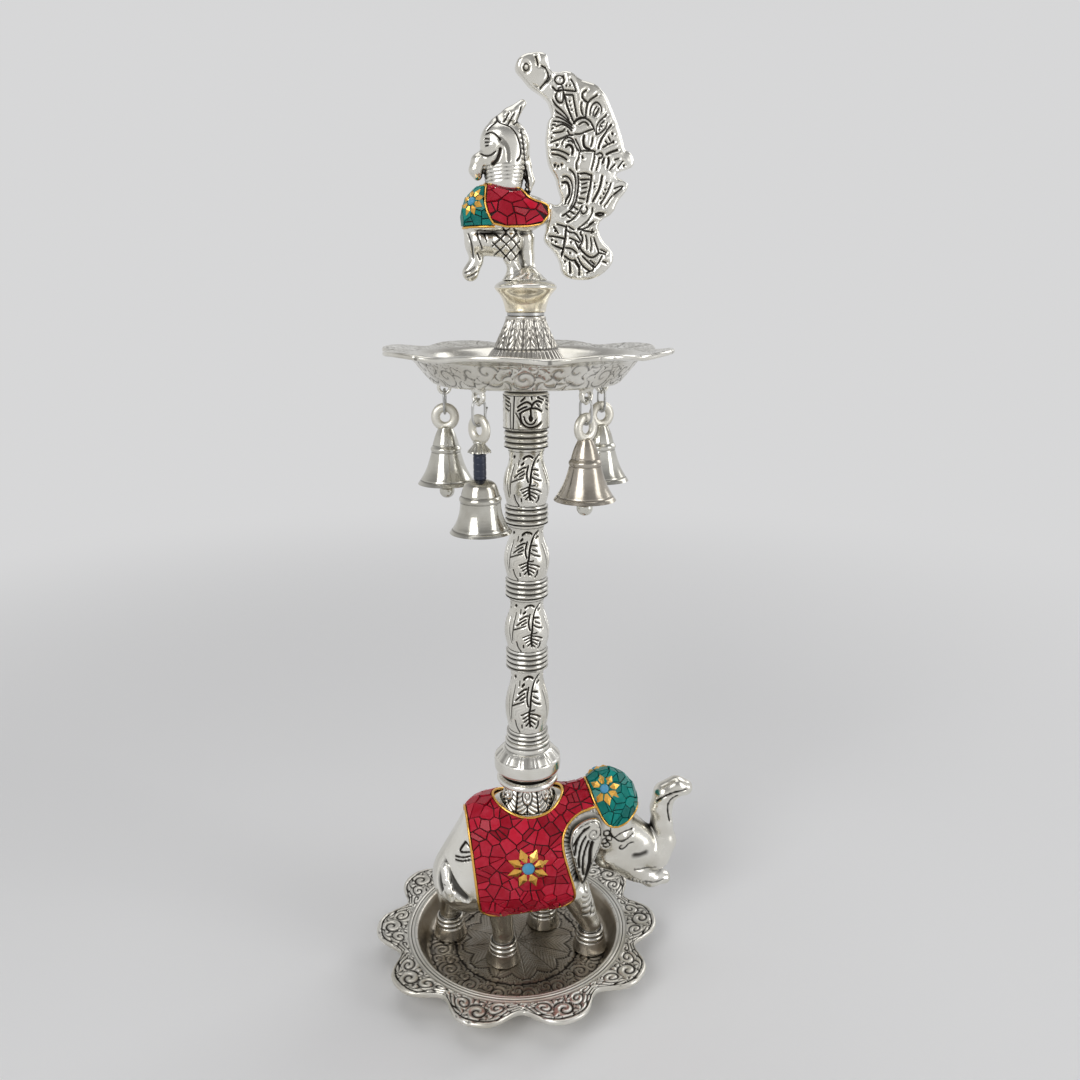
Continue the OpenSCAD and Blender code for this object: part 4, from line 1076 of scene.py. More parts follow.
add_piece("lotus_collar", collar(), "stand", ["back_collar"], [SILVER])
add_piece("flanged_foot", pillar_foot(), "stand", ["pillar_foot"], [SILVER])
for section in range(1, 6):
    add_piece(f"turned_section_{section}", pillar_section(section), "stand", [f"pillar_section_{section}"],
              [SILVER])
add_piece("petal_cone", cone(), "stand", ["lotus_cone"], [SILVER])


def cup():
    low, high = CUP_LOW[2], CUP_HIGH[2]
    bore = TIE_ROD_R + 0.05
    inner = [(0, low + 6.2), (bore, low + 6.2), (bore, low)]
    outer = [(bore, low), (7.6, low), (7.8, low + 0.6), (7.9, low + 1.4), (8.6, low + 4.2), (9.9, low + 6.8),
             (11.3, low + 8.2), (12, low + 9.2), (11.8, low + 10.2), (10.6, low + 11.1), (9, high), (3, high),
             (0, high)]
    profile = np.vstack([inner[:-1], resampled(rounded(outer), 0.3)])
    profile[[0, -1], 0] = 0
    shape = lathe(profile, 160)
    middle_z = [shape.points[list(face), 2].mean() for face in shape.faces]
    shape.kinds = [int(z > low + 9.3) for z in middle_z]
    return shape


crisp(add_piece("flared_cup", cup(), "finial", ["finial_cup"], [CHAMPAGNE, SILVER]))


# Cast figures: a field is meshed, then carved along its normals

def cut_lines(p, lines, width):
    """1 away from a set of engraved lines and 0 in them."""
    away = np.min([line_distance(p, rounded(line)) for line in lines], axis=0)
    return ramp(away, 0.35 * width, width)


def cast(field, low, high, step, carve, reaches=(1.2, 3.0, 7.0)):
    """A carved casting, darker in its crevices: painted shade there, with tarnish."""
    points, faces = meshed(field, low, high, step)
    normal = normals(points, field)
    lift, cut = carve(points, normal)
    return Shape(points + normal * lift[:, None], faces, openness(points, normal, field, reaches) * cut)


# Elephant: in its own frame its feet stand at height 0

TORSO = between([((-14, 0, 56.5), (18, 17.5, 18.5)), ((-26, 0, 38.5), (17, 16, 17)),
                 ((2, 0, 49.5), (20, 20.5, 26)), ((14, 0, 52.5), (16, 18, 22.5))])
NECK = between([((14, 0, 58), (14, 15, 17)), ((33, 0, 63), (13, 12, 15))])
HEAD = ((35.7, 0, 66), (13.1, 12.7, 16.1))
FLANK = [(-15, 6.2, 36.5, 12.8), (11, 6.2, 37.5, 12.8)]
FACE = between([((36, 0, 55), (13, 12, 13)), ((50, 0, 46), (9, 9, 10))])
JAW = [(38, 0, 44, 9.5), (49, 0, 33.3, 6), (57.5, 0, 27.2, 4.7), (64.2, 0, 25.6, 3.1)]
TRUNK = [(50, 0, 44, 9.3), (59, 0, 39.2, 7.5), (63.1, 0, 45, 5.8), (62.3, 0, 54, 4.7), (61.8, 0, 62, 4.6),
         (63.4, 0, 69.2, 4.8), (68.4, 0, 72.2, 4.2), (72.6, 0, 71.2, 3.6)]
TAIL = [(-35, -5, 49, 1.2), (-37.3, -7.2, 46.8, 1.7), (-36.7, -10.3, 43, 1.8), (-35.8, -11.9, 39.1, 1.9),
        (-35, -12, 35, 1.8)]
LEGS = [((-31.5, 7.5, 10.2), (-35, 11)), ((-14.5, -10, 5.8), (-13, -10.5)), ((13, 9, 7.5), (9, 11)),
        ((19.5, -9, 7.2), (27, -9.5))]
SEAT_R = 12.2
EAR = rounded_polygon([(30, 66), (28, 70), (22, 69.6), (16.8, 67), (15.2, 61.7), (16.1, 56.2), (17.8, 49.1),
                       (19.6, 42), (21.6, 37.2), (23.6, 40.5), (26.4, 49.5), (29, 55.5), (30.4, 61)])
SADDLE = rounded([(-29, 86), (-24.5, 34), (-23, 28.5), (-18, 26), (-2, 25), (11, 26.4), (16.5, 28.6),
                  (19, 33), (12.6, 55), (12, 63.5), (17, 69.6), (28, 72), (34, 75), (35, 88)])
CAP = rounded([(24, 92), (26.4, 79), (29.2, 71), (32.4, 64.6), (37, 62.6), (42, 63.6), (47, 66.5), (53, 68),
               (55, 92)])
OPENING = (15.5, 13.0)


def clothed(p):
    """Body and neck."""
    whole = soft_union(hull(p, TORSO, 0.8), limb(np.abs(p) * (0, 1, 0) + p * (1, 0, 1), FLANK), 3)
    return soft_union(whole, hull(p, NECK, 0.8), 2.5)


def brow(p):
    return ellipsoid(p, HEAD)


def draped(p):
    """Body, neck and brow, which the saddle lies on."""
    return soft_union(clothed(p), brow(p), 2)


def ear_face(x, z):
    """How far out the flat of an ear lies."""
    return 20.4 - 0.2 * (x - 16) - 0.004 * (z - 58) ** 2


def rounded_both(a, b, radius):
    """The room inside two limits, with a rounded edge where they meet."""
    corner = np.hypot(np.maximum(a + radius, 0), np.maximum(b + radius, 0))
    return corner + np.minimum(np.maximum(a, b) + radius, 0) - radius


def ear(p):
    x, y, z = p.T
    edge = outline_distance(p[:, [0, 2]], EAR)
    slab = np.abs(np.abs(y) - ear_face(x, z) + 1.5) - 1.5
    return rounded_both(edge, slab, 0.9)


def leg(p, hip, foot):
    x, y, thigh_r = hip
    thigh = limb(p, [(x, y, 30, thigh_r), (*foot, 12.5, 4.4), (*foot, 7, 4.4)])
    out = np.hypot(p[:, 0] - foot[0], p[:, 1] - foot[1])
    drum = rounded_both(out - 8.0 + 0.24 * p[:, 2], np.maximum(p[:, 2] - 6.2, -p[:, 2]), 0.7)
    whole = np.minimum(thigh, drum)
    for height, radius, stock in ((7.2, 5.5, 1.05), (9.3, 5.1, 1.05)):
        whole = soft_union(whole, ring(p, (*foot, height), radius, stock), 0.25)
    return whole


def elephant_field(p):
    whole = draped(p)
    whole = soft_union(whole, hull(p, FACE, 1), 3.5)
    jaw = limb(p * (1, 0.8, 1), JAW, 2)
    whole = soft_union(whole, jaw, 2)
    whole = soft_union(whole, limb(p, TRUNK, 2.5), 1.8)
    whole = soft_union(whole, limb(p, TAIL, 1), 0.7)
    whole = soft_union(whole, ear(p), 0.6)
    for hip, foot in LEGS:
        whole = soft_union(whole, leg(p, hip, foot), 1.6)
    seat = np.maximum(np.hypot(p[:, 0], p[:, 1]) - SEAT_R, SEAT_Z - FLOOR_Z - p[:, 2])
    return np.maximum(np.maximum(whole, -seat), -p[:, 2])


EYE_LINES = [
    [(36.9, 56.8), (39.4, 58.2), (42.8, 58.6), (46.2, 57.9)],
    [(36.9, 56.6), (38.6, 54.6), (40.8, 53.7), (43.4, 54.3), (46, 55.8)],
    [(40.4, 51.8), (39.3, 50.8), (40.6, 49.4), (42.6, 50.4), (44, 52.2), (46.2, 52)],
    [(36.5, 56.7), (34.9, 59.2), (34.9, 61.5)],
]
EYE_BALL, EYE_BALL_R = (41.6, 56.1), (2.6, 1.35)
BRIDLE_RING_R = 1.45
BRIDLE_RINGS = [(33.2, 59.4), (34.3, 56.6), (32.4, 55), (33.4, 53)]
FACE_LINES = [
    [(47.6, 36.6), (52.6, 35.2), (57.8, 35.9)],
    [(53.5, 28.4), (58, 27.4), (63.3, 26.9)],
]
TRUNK_LINES = [
    [(58.6, 67.2), (60.2, 69.4), (62.7, 71), (67, 72), (72.2, 72.2)],
    [(68, 69.8), (64.5, 68.8), (63.2, 65.4), (63.8, 61), (65, 57.1)],
]
CHEEK = [(47.4, 44.6), (49.4, 44.6), (52.6, 45.2)]
TEETH = [(46.5, 30.9), (48.3, 29.9), (51, 28.3), (54, 27.2)]
TENT = [[(-28.8, 60.7), (-32, 55.9), (-29.1, 56.7), (-25.8, 58.1), (-28.8, 60.7)],
        [(-33.2, 53.8), (-30, 54.4), (-25.9, 56.4)], [(-33.3, 52.5), (-30.1, 52.9), (-26, 54.9)]]
TAIL_SIDE = np.array((0.77, -0.64, 0))
TAIL_OUT = np.array((-0.64, -0.77, 0))
NICHE = rounded_polygon([(-26, 51.5), (-28, 46.5), (-28.4, 41), (-26.6, 36), (-25, 33), (-13, 33),
                         (-10.6, 36.6), (-14.3, 41), (-17.6, 44.8), (-21.6, 49)])
TAIL_STRIP = [(-24.2, 47.4), (-22, 43), (-20.1, 39.1), (-19.4, 34)]
TAIL_MARK = (-21.8, 42.2)
EAR_CURL, EAR_CURL_R = (26.2, 63.4), 3.4
EAR_SLOT = [(26, 61.5), (24.7, 56.4), (24.4, 49.8), (23.5, 44.1), (22.7, 39.8)]
EAR_GROOVES = [[(23.9, 67), (19.6, 64.4), (16.9, 59.9)], [(23.6, 64), (20.5, 60.4), (19, 52.7), (19.8, 48.1)],
               [(24, 60.9), (22.1, 56.7), (21, 50.2), (21.7, 43.9)], [(21.8, 66.4), (18.3, 62), (17.4, 55)]]
STRIP_MIDDLE, STRIP_R = (28, 57), 15
CHEST_MOTIFS = [(28.9, 38.8, 1.1, 0.42, 1), (33.9, 32.7, 1, 0.42, -1), (26.8, 31, 1.2, 0.3, 7),
                (31.6, 27.5, 1, 0.4, 1), (36.5, 27, 0.8, 0.3, 6)]


def carve_elephant(p, normal):
    """Ears, bridle strip, chest, face, trunk and the niche that holds the tail."""
    x, y, z = p.T
    sideways = ramp(np.abs(normal[:, 1]), 0.3, 0.6)
    side = np.stack([x, z], axis=1)
    out = np.abs(y)
    cut, lift = np.ones(len(p)), np.zeros(len(p))

    def engrave(where, pattern, depth):
        shown = 1 - sideways * (1 - pattern)
        cut[where] = np.minimum(cut, shown)[where]
        lift[where] += (depth * (shown - 1))[where]

    edge = outline_distance(side, EAR)
    on_ear = (edge < 0.4) & (out > ear_face(x, z) - 2.0)
    curl_r = np.hypot(x - EAR_CURL[0], z - EAR_CURL[1])
    curl = ridges(curl_r * 0.5 - np.arctan2(z - EAR_CURL[1], x - EAR_CURL[0]) / TURN + 0.4, 0.6)
    slot = ramp(line_distance(side, EAR_SLOT), 0.5, 1.5)
    inner = np.minimum(slot, cut_lines(side, EAR_GROOVES, 0.95))
    inner = np.where(curl_r < EAR_CURL_R, curl, inner) * ramp(np.abs(edge + 0.5), 0.05, 0.4)
    engrave(on_ear, inner, 0.75)

    border = outline_distance(side, SADDLE)
    arc = STRIP_R * np.arctan2(z - STRIP_MIDDLE[1], STRIP_MIDDLE[0] - x)
    on_strip = (border > 1.0) & (border < 4.2) & (x > 8) & (z > 40) & (x < 30) & (edge > 0.3) & (out > 8)
    engrave(on_strip, ridges(arc / 1.75, 0.6) * ramp(np.abs(border - 4.0), 0, 0.4), 0.6)
    on_chest = (x > 22) & (x < 40) & (z > 20) & (z < 39) & (out > 5) & (edge > 0.5) & (border > 0.8)
    bare = np.minimum(hull(p, FACE, 1), limb(p * (1, 0.8, 1), JAW, 2))
    engrave(on_chest, 1 - ramp(bare, 0.8, 1.8) * (1 - scrollwork(x, z, CHEST_MOTIFS)), 0.5)

    on_face = (x > 30) & (z > 22) & (z < 70) & (out > 4) & (edge > 0.8)
    engrave(on_face, cut_lines(side, EYE_LINES, 0.6), 0.4)
    engrave(on_face, 0.3 + 0.7 * cut_lines(side, FACE_LINES, 0.6), 0.4)
    for centre in BRIDLE_RINGS:
        away = np.hypot(x - centre[0], z - centre[1])
        engrave(on_face & (away < 2.2), ramp(np.abs(away - BRIDLE_RING_R), 0.15, 0.55), 0.5)
    pocket = 0.18 + 0.82 * ramp(line_distance(side, CHEEK), 0.1, 2.8)
    engrave(on_face, pocket, 0.9)
    ball_r = np.hypot((x - EYE_BALL[0]) / EYE_BALL_R[0], (z - EYE_BALL[1]) / EYE_BALL_R[1])
    lift += np.where(on_face, 0.7 * (1 - ramp(ball_r, 0.3, 1)), 0)
    tooth = line_distance(side, TEETH)
    on_jaw = on_face & (tooth < 1.2)
    engrave(on_jaw, ridges(x / 1.75, 0.6), 0.5)
    lift += np.where(on_jaw, 0.5 * (1 - ramp(tooth, 0.6, 1.2)), 0)
    on_trunk = (x > 56) & (z > 50) & (out > 1.2)
    engrave(on_trunk, cut_lines(side, TRUNK_LINES, 0.7), 0.55)

    engrave((x < -20) & (z > 50) & (border > 0.6), cut_lines(side, TENT, 0.65), 0.35)
    rear = np.stack([p @ TAIL_SIDE, z], axis=1)
    behind = ramp(normal @ TAIL_OUT, 0.1, 0.4)
    hollow = (1 - ramp(outline_distance(rear, NICHE), -1.0, 0.3)) * behind * (x < -20)
    thigh = 4.5 * ramp(40.5 - z, 0, 7)
    strip = 1 - ramp(line_distance(rear, TAIL_STRIP) - thigh, 1.8, 2.4)
    mark = 1 - ramp(np.hypot(rear[:, 0] - TAIL_MARK[0], 1.8 * (z - TAIL_MARK[1])), 0.4, 1.1)
    # Inside the niche the metal is painted dark round the tail strip: painted shade in the hollow, with
    # tarnish.
    cut[:] = np.minimum(cut, 1 - hollow * np.maximum(0.8 * (1 - strip), 0.8 * mark))
    lift += hollow * (0.5 * strip - 1.3 * (1 - strip))
    return lift, cut


def elephant():
    shape = cast(elephant_field, (-46, -23, 0), (77, 23, 85), 0.58, carve_elephant)
    shape.points[:, 2] = np.maximum(shape.points[:, 2], 0) + FLOOR_Z
    # The metal is toned browner and darker towards the feet.
    shape.tone = 0.5 * ramp(-shape.points[:, 2], -36, -8)
    return shape


add_piece("walking_elephant", elephant(), "stand", ["elephant_body"], [SILVER])


# Mosaic: flat chips set in a dark bed

CHIP_TOP = 1.35
BED_TOP = 0.75
CHIP_DEPTH = 0.95
CHIP_BEVEL = 0.16


def clipped(polygon, direction, reach):
    """The part of a polygon that lies no further than a reach along a direction."""
    height = polygon @ direction - reach
    kept = []
    for i, point in enumerate(polygon):
        k = (i + 1) % len(polygon)
        if height[i] <= 0:
            kept.append(point)
        if (height[i] <= 0) != (height[k] <= 0):
            kept.append(point + (polygon[k] - point) * height[i] / (height[i] - height[k]))
    return np.array(kept).reshape(-1, 2)


def spread(points, gap, draw):
    """A random choice of points with none nearer to another than a gap."""
    order = draw.permutation(len(points))
    kept = points[order[:1]]
    for point in points[order[1:]]:
        if ((kept - point) ** 2).sum(axis=1).min() > gap**2:
            kept = np.vstack([kept, point])
    return kept


def chip(start, axes, polygon, draw):
    middle = polygon.mean(axis=0)
    size = np.linalg.norm(polygon - middle, axis=1).mean()
    tilt = draw.normal(0, 0.05, 2)
    rise = draw.normal(0, 0.05)
    rings = []
    for share, height in ((1, -CHIP_DEPTH), (1, rise - CHIP_BEVEL * 0.7), (1 - CHIP_BEVEL / size, rise)):
        flat = middle + (polygon - middle) * share
        lean = (flat - middle) @ tilt
        rings.append(start + flat @ axes[:2] + (height + lean)[:, None] * axes[2])
    count = len(polygon)
    index = np.arange(3 * count).reshape(3, count)
    faces = [tuple(index[0][::-1]), tuple(index[2])]
    for a, b in ((index[0], index[1]), (index[1], index[2])):
        faces += np.stack([a, np.roll(a, -1), np.roll(b, -1), b], axis=1).tolist()
    tone = np.clip(draw.beta(1.7, 2.2), 0, 1)
    return Shape(np.concatenate(rings), faces, tone=np.full(3 * count, tone))


SNAPPED = 0.45
UNEVEN = 0.55
EDGE_GAP = 0.15


def broken(polygon, draw, gap):
    """A chip, or the two shards of one that was snapped."""
    if draw.random() > SNAPPED or np.ptp(polygon, axis=0).min() < 2.4:
        return [polygon]
    turn = draw.uniform(0, math.pi)
    across = np.array([math.cos(turn), math.sin(turn)])
    place = polygon.mean(axis=0) @ across + draw.normal(0, 0.4)
    return [clipped(polygon, across, place - gap / 2), clipped(polygon, -across, -place - gap / 2)]


def drawn_in(start, axes, polygon, inside):
    """A polygon with the corners that lie over an edge drawn in towards its middle."""
    middle = polygon.mean(axis=0)
    near, away = np.zeros(len(polygon)), np.ones(len(polygon))
    for _ in range(6):
        spots = middle + away[:, None] * (polygon - middle)
        over = inside(start + spots @ axes[:2]) > -EDGE_GAP
        half = (near + away) / 2
        spots = middle + half[:, None] * (polygon - middle)
        within = inside(start + spots @ axes[:2]) <= -EDGE_GAP
        near, away = np.where(over & within, half, near), np.where(over & ~within, half, away)
    return middle + np.where(over, near, away)[:, None] * (polygon - middle)


def mosaic(field, edges, low, high, gap, seed, grout=0.26, stretch=(1.0, 1.0, 1.0)):
    """Chips over a field, inside edges that are less than 0, with the bed they lie in.

    Chips grow longer along an axis whose stretch is less than 1."""
    draw = np.random.default_rng(seed)
    stretch = np.array(stretch)

    def inside(p):
        return np.max([edge(p) for edge in edges], axis=0)

    def bed(p):
        level = field(p)
        return np.maximum(np.maximum(level - BED_TOP, -level - 0.6), inside(p))

    top = meshed(lambda p: field(p) - CHIP_TOP, low, high, 0.9 / DETAIL)[0]
    starts = spread(top[inside(top) < -0.9] * stretch, gap, draw) / stretch
    weight = draw.uniform(-UNEVEN, UNEVEN, len(starts))
    normal = normals(starts, field)
    limits = [(edge(starts), gradient(starts, edge)) for edge in edges]
    shapes = [Shape(*meshed(bed, low, high, 0.75), kind=1)]
    for i, start in enumerate(starts):
        side = np.cross(normal[i], (0.1, 0.2, 1.0))
        side /= np.linalg.norm(side)
        axes = np.stack([side, np.cross(normal[i], side), normal[i]])
        polygon = np.array([(-1, -1), (1, -1), (1, 1), (-1, 1)]) * gap * 1.3
        away = np.linalg.norm((starts - start) * stretch, axis=1)
        for k in np.flatnonzero((away > 0) & (away < 2.6 * gap)):
            gone = axes[:2] @ (starts[k] - start)
            step = axes[:2] @ ((starts[k] - start) * stretch**2)
            length = np.linalg.norm(step)
            middle = 0.5 * (gone @ step) / length + 0.5 * (weight[i] - weight[k])
            polygon = clipped(polygon, step / length, middle - 0.5 * grout)
        for level, slope in limits:
            step = axes[:2] @ slope[i]
            length = max(np.linalg.norm(step), 0.2)
            polygon = clipped(polygon, step / length, (-level[i] - 0.35) / length)
        if len(polygon) < 3:
            continue
        for shard in broken(polygon, draw, grout):
            if len(shard) < 3:
                continue
            shard = drawn_in(start, axes, shard, inside)
            if np.ptp(shard, axis=0).min() > 0.7:
                shapes.append(chip(start, axes, shard, draw))
    return union(shapes)


def rays_out(field, start, direction, level, reach=60.0):
    """Where rays that start inside a field's level leave it."""
    near, away = np.zeros(len(start)), np.full(len(start), reach)
    for _ in range(30):
        middle = (near + away) / 2
        within = field(start + middle[:, None] * direction) < level
        near, away = np.where(within, middle, near), np.where(within, away, middle)
    return start + near[:, None] * direction


WIRE_LEVEL = 1.05
WIRE_R = 0.6


def side_lines(field, outline, level, keep=None):
    """An outline of [x, z] laid on the two sides of a field."""
    line = resampled(outline, 0.5)
    flat = np.stack([line[:, 0], 0 * line[:, 0], line[:, 1]], axis=1)
    flat = flat[field(flat) < level]
    made = []
    for y in (1.0, -1.0):
        path = rays_out(field, flat, np.array([0, y, 0]), level)
        made.append(path if keep is None else path[keep(path)])
    return made


def wire(path, closed, radius=WIRE_R):
    path = np.asarray(path)
    if closed:
        path = np.vstack([path, path[:1]])
    path = resampled(path, 0.55 * DETAIL)
    return tube(path[:-1] if closed else path, radius, 8, closed)


def opening_edge(p):
    return (1 - np.hypot(p[:, 0] / OPENING[0], p[:, 1] / OPENING[1])) * OPENING[1]


SADDLE_EDGES = [
    lambda p: outline_distance(p[:, [0, 2]], SADDLE) + 0.3,
    lambda p: opening_edge(p) + 0.3,
    lambda p: 0.6 - outline_distance(p[:, [0, 2]], CAP),
]
CAP_EDGES = [lambda p: outline_distance(p[:, [0, 2]], CAP) + 0.3]
SADDLE_BOX = ((-31, -24, 22), (38, 24, 86))
CAP_BOX = ((21, -16, 57), (54, 16, 87))
ON_TRAY = Matrix.Translation((0, 0, FLOOR_Z))
CHIP_EDGE = 20


def add_chips(name, chips, body, node, material):
    crisp(add_piece(name, chips, body, [node], [material, GROUT]), CHIP_EDGE)


saddle_chips = mosaic(draped, SADDLE_EDGES, *SADDLE_BOX, gap=4.2, seed=11, grout=0.46).moved(ON_TRAY)
add_chips("red_saddle", saddle_chips, "stand", "saddle_mosaic", RED)
cap_chips = mosaic(brow, CAP_EDGES, *CAP_BOX, gap=3.9, seed=12, grout=0.34).moved(ON_TRAY)
add_chips("teal_cap", cap_chips, "stand", "cap_mosaic", TEAL)


def saddle_wire():
    right, left = side_lines(draped, SADDLE, WIRE_LEVEL, lambda p: outline_distance(p[:, [0, 2]], CAP) > 0.2)
    border = wire(np.vstack([right[::-1], left]), False)
    turn = np.linspace(0, TURN, 121)[:-1]
    start = np.stack([OPENING[0] * np.cos(turn), OPENING[1] * np.sin(turn), 0 * turn + 50], axis=1)
    return union([border, wire(rays_out(clothed, start, np.array([0, 0, 1.0]), WIRE_LEVEL), True)])


def cap_wire():
    right, left = side_lines(brow, CAP, WIRE_LEVEL)
    return wire(np.vstack([right, left[::-1]]), True)


add_piece("saddle_gilt_wire", saddle_wire().moved(ON_TRAY), "stand", ["saddle_border_wire"], [GILT])
add_piece("cap_gilt_wire", cap_wire().moved(ON_TRAY), "stand", ["cap_border_wire"], [GILT])


# Flowers: eight faceted petals round a domed stone

PETALS = 8
PETAL_RISE = 1.35
PETAL_EDGE = 8


def flower_axes(field, start, along):
    """Middle of a flower on a field, and its three directions."""
    middle = rays_out(field, np.array([start], float), np.asarray(along, float), CHIP_TOP)[0]
    normal = normals(middle[None], field)[0]
    side = np.cross(normal, (0.05, 0.1, 1.0))
    side /= np.linalg.norm(side)
    return middle, np.stack([side, np.cross(normal, side), normal])


def petals(field, middle, axes, stone_r, flower_r, turn, limit=None):
    made = []
    half = 0.56 * flower_r * math.sin(math.pi / PETALS)
    inner = stone_r + 0.25
    ring_xy = [(inner, -0.5), (0.6 * flower_r, -half), (flower_r, 0), (0.6 * flower_r, half), (inner, 0.5)]
    for i in range(PETALS):
        angle = turn + i * TURN / PETALS
        along = np.array([math.cos(angle), math.sin(angle)])
        across = np.array([-along[1], along[0]])
        flat = np.array([r * along + w * across for r, w in ring_xy])
        ridge = np.array([(inner + 0.3) * along, 0.58 * flower_r * along])
        spots = np.vstack([flat, flat, ridge])
        levels = np.array([0.55] * 5 + [PETAL_RISE + 0.2] * 5 + [PETAL_RISE + 0.5, PETAL_RISE + 0.95])
        points = middle + spots @ axes[:2]
        if limit is not None and np.max(limit(points)) > 0.6:
            continue
        for _ in range(3):
            slope = gradient(points, field)
            gap = field(points) - levels
            points = points - slope * (gap / np.maximum((slope**2).sum(axis=1), 1e-6))[:, None]
        faces = [(4, 3, 2, 1, 0)] + [(k, (k + 1) % 5, 5 + (k + 1) % 5, 5 + k) for k in range(5)]
        faces += [(5, 6, 11, 10), (6, 7, 11), (7, 8, 11), (8, 9, 10, 11), (9, 5, 10)]
        made.append(Shape(points, faces))
    return made


def cabochon(middle, axes, stone_r):
    frame_matrix = np.eye(4)
    frame_matrix[:3, :3] = axes.T
    frame_matrix[:3, 3] = middle
    dome = ball((0, 0, 0), (stone_r, stone_r, 0.62 * stone_r), 24)
    dome.tone = np.full(len(dome.points), 0.6)
    return dome.moved(frame_matrix)


def flowers(field, places, stone_r, flower_r, limit=None):
    """Petals and stones of the flowers that start at places and face along directions."""
    leaves, stones = [], []
    for start, along in places:
        middle, axes = flower_axes(field, start, along)
        leaves += petals(field, middle, axes, stone_r, flower_r, math.pi / PETALS, limit)
        stones.append(cabochon(middle, axes, stone_r))
    return union(leaves), union(stones)


def mirrored(start, along):
    return [(start, along), (np.array(start) * (1, -1, 1), np.array(along) * (1, -1, 1))]


def towards(direction):
    """A direction at length 1."""
    return np.array(direction) / np.linalg.norm(direction)


def add_flowers(name, made, place, body, node):
    """Adds the gilt petals and the stones of some flowers as two pieces."""
    leaves, stones = made
    petal_piece = add_piece(f"{name}_flowers", leaves.moved(place), body, [f"{node}_petals"], [GILT])
    crisp(petal_piece, PETAL_EDGE)
    add_piece(f"{name}_stones", stones.moved(place), body, [f"{node}_cabochons"], [TURQUOISE])


SADDLE_FLOWERS = mirrored((-3.2, 0, 52), (0, 1.0, 0))
CAP_FLOWERS = mirrored(HEAD[0], towards((-3, 8.8, 13.5)))
add_flowers("saddle", flowers(clothed, SADDLE_FLOWERS, 2.7, 9.5), ON_TRAY, "stand", "saddle")
add_flowers("cap", flowers(brow, CAP_FLOWERS, 2.0, 8.0, CAP_EDGES[0]), ON_TRAY, "stand", "cap")


# Peacock: in its own frame its feet stand at height 0 on the cup

PERCH_Z = CUP_HIGH[2]
PERCHED = Matrix.Translation((0, 0, PERCH_Z))
BREAST = ((-11.4, 0, 21.6), (11.4, 9.5, 12.2))
REAR = ((1, 0, 24.5), (8, 7, 6))
RUMP_END = ((7, 0, 24.5), (4, 3.5, 3.5))
PLUMAGE = between([BREAST, REAR]) + between([REAR, RUMP_END])
BELLY_Z = 17.4
BIRD_HEAD = between([((-8, 0, 35), (7, 6.5, 6)), ((-7.5, 0, 48), (9.2, 7, 9))])
THIGH = ((-7.8, -1.6, 14), (6.4, 6, 6))
BELLY = [(-18, 0, 13.8, 5), (-8, 0, 13.4, 5.2)]
BEAK = [(-13.5, 0, 43.4, 3.8), (-17, 0, 41.6, 3), (-18.2, 0, 38.8, 2.6), (-17.8, 0, 36.9, 1.7)]
CREST = [(-10, 0, 54, 3.2), (-5.5, 0, 57.5, 2.9), (-1, 0, 61.8, 1.5)]
NAPE = [(-2.8, 0, 53.5, 1.6), (-0.4, 0, 48, 1.7), (0.4, 0, 41, 1.8), (1.8, 0, 35.5, 1.7), (1, 0, 32.4, 1.4)]
PLUME = [(-19, 0, 17.5, 4.4), (-18.8, 0, 12, 3.6), (-18.7, 0, 7, 2.5), (-21, 0, 2.6, 3.1)]
NEAR_LEG = [(-8, -3, 13.5, 4.4), (-6.2, -3, 8.6, 2.9), (-5, -3, 4.4, 2.3), (-5.2, -3.2, -0.5, 3.8)]
FAR_LEG = [(-0.4, 2.5, 15, 4.4), (0.6, 3, 9, 3.2), (1.2, 3, 4.5, 2.9), (2.6, 3.2, -0.5, 4.4)]
MOUND_R, MOUND_SLOPE, MOUND_TOP = 8.8, 1.05, 4.4
TAIL_ROOT_X = 8.0
BIRD_LINES = [
    [(-15, 50.8), (-13.3, 51.3), (-11.7, 50.4), (-10, 48.6)],
    [(-10.7, 55.8), (-9.9, 54.4), (-6.4, 53.4), (-4.3, 51.3), (-3.1, 48.5), (-2.3, 45.5), (-2.6, 42.9),
     (-3.9, 41.7)],
    [(-16.9, 44.4), (-15.4, 43.3), (-13.6, 43.3), (-11.8, 44.6)],
    [(-15.3, 49.2), (-14.1, 49)], [(-15.3, 47.9), (-14.1, 47.8)], [(-15.1, 46.6), (-14.2, 46.7)],
    [(-8.4, 54.9), (-6.3, 58)], [(-6.9, 54.1), (-4.3, 58.1)], [(-4.8, 54.1), (-2.5, 56), (-1.5, 60.5)],
    [(-10.8, 57.2), (-10.7, 55.1), (-13.2, 53.4), (-14.5, 52)],
]
HEAD_BAND = [(-10, 48.8), (-8, 47), (-7.1, 44.9), (-7, 41.8)]
CHEEK_SHADE = [(-10.2, 45.4), (-10.7, 43.2), (-11.7, 41.3), (-13, 40.5)]
PLUME_LINES = [
    [(-22, 16.4), (-20.8, 12), (-20.2, 8)], [(-18.8, 16.8), (-18, 13.4), (-17, 11)],
    [(-16.2, 16.6), (-15.4, 13.6)], [(-18.6, 9.4), (-17.6, 7.4)],
    [(-23.4, 2.6), (-21.6, 3.2), (-19.6, 4.6)], [(-22.6, 1), (-20.6, 1.6), (-18.8, 2.8)],
]
BIRD_EYE = (-13.6, 46.9)
THIGH_NET, THIGH_NET_R, NET_SIZE = (-7.9, 12.6), 5.6, 4.2
SPINE = [(x, z) for x, _, z, _ in NAPE]


def plumage(p):
    return rounded_both(hull(p, PLUMAGE, 0.6), BELLY_Z - p[:, 2], 1.5)


def bird_head(p):
    return hull(p, BIRD_HEAD, 0.8)


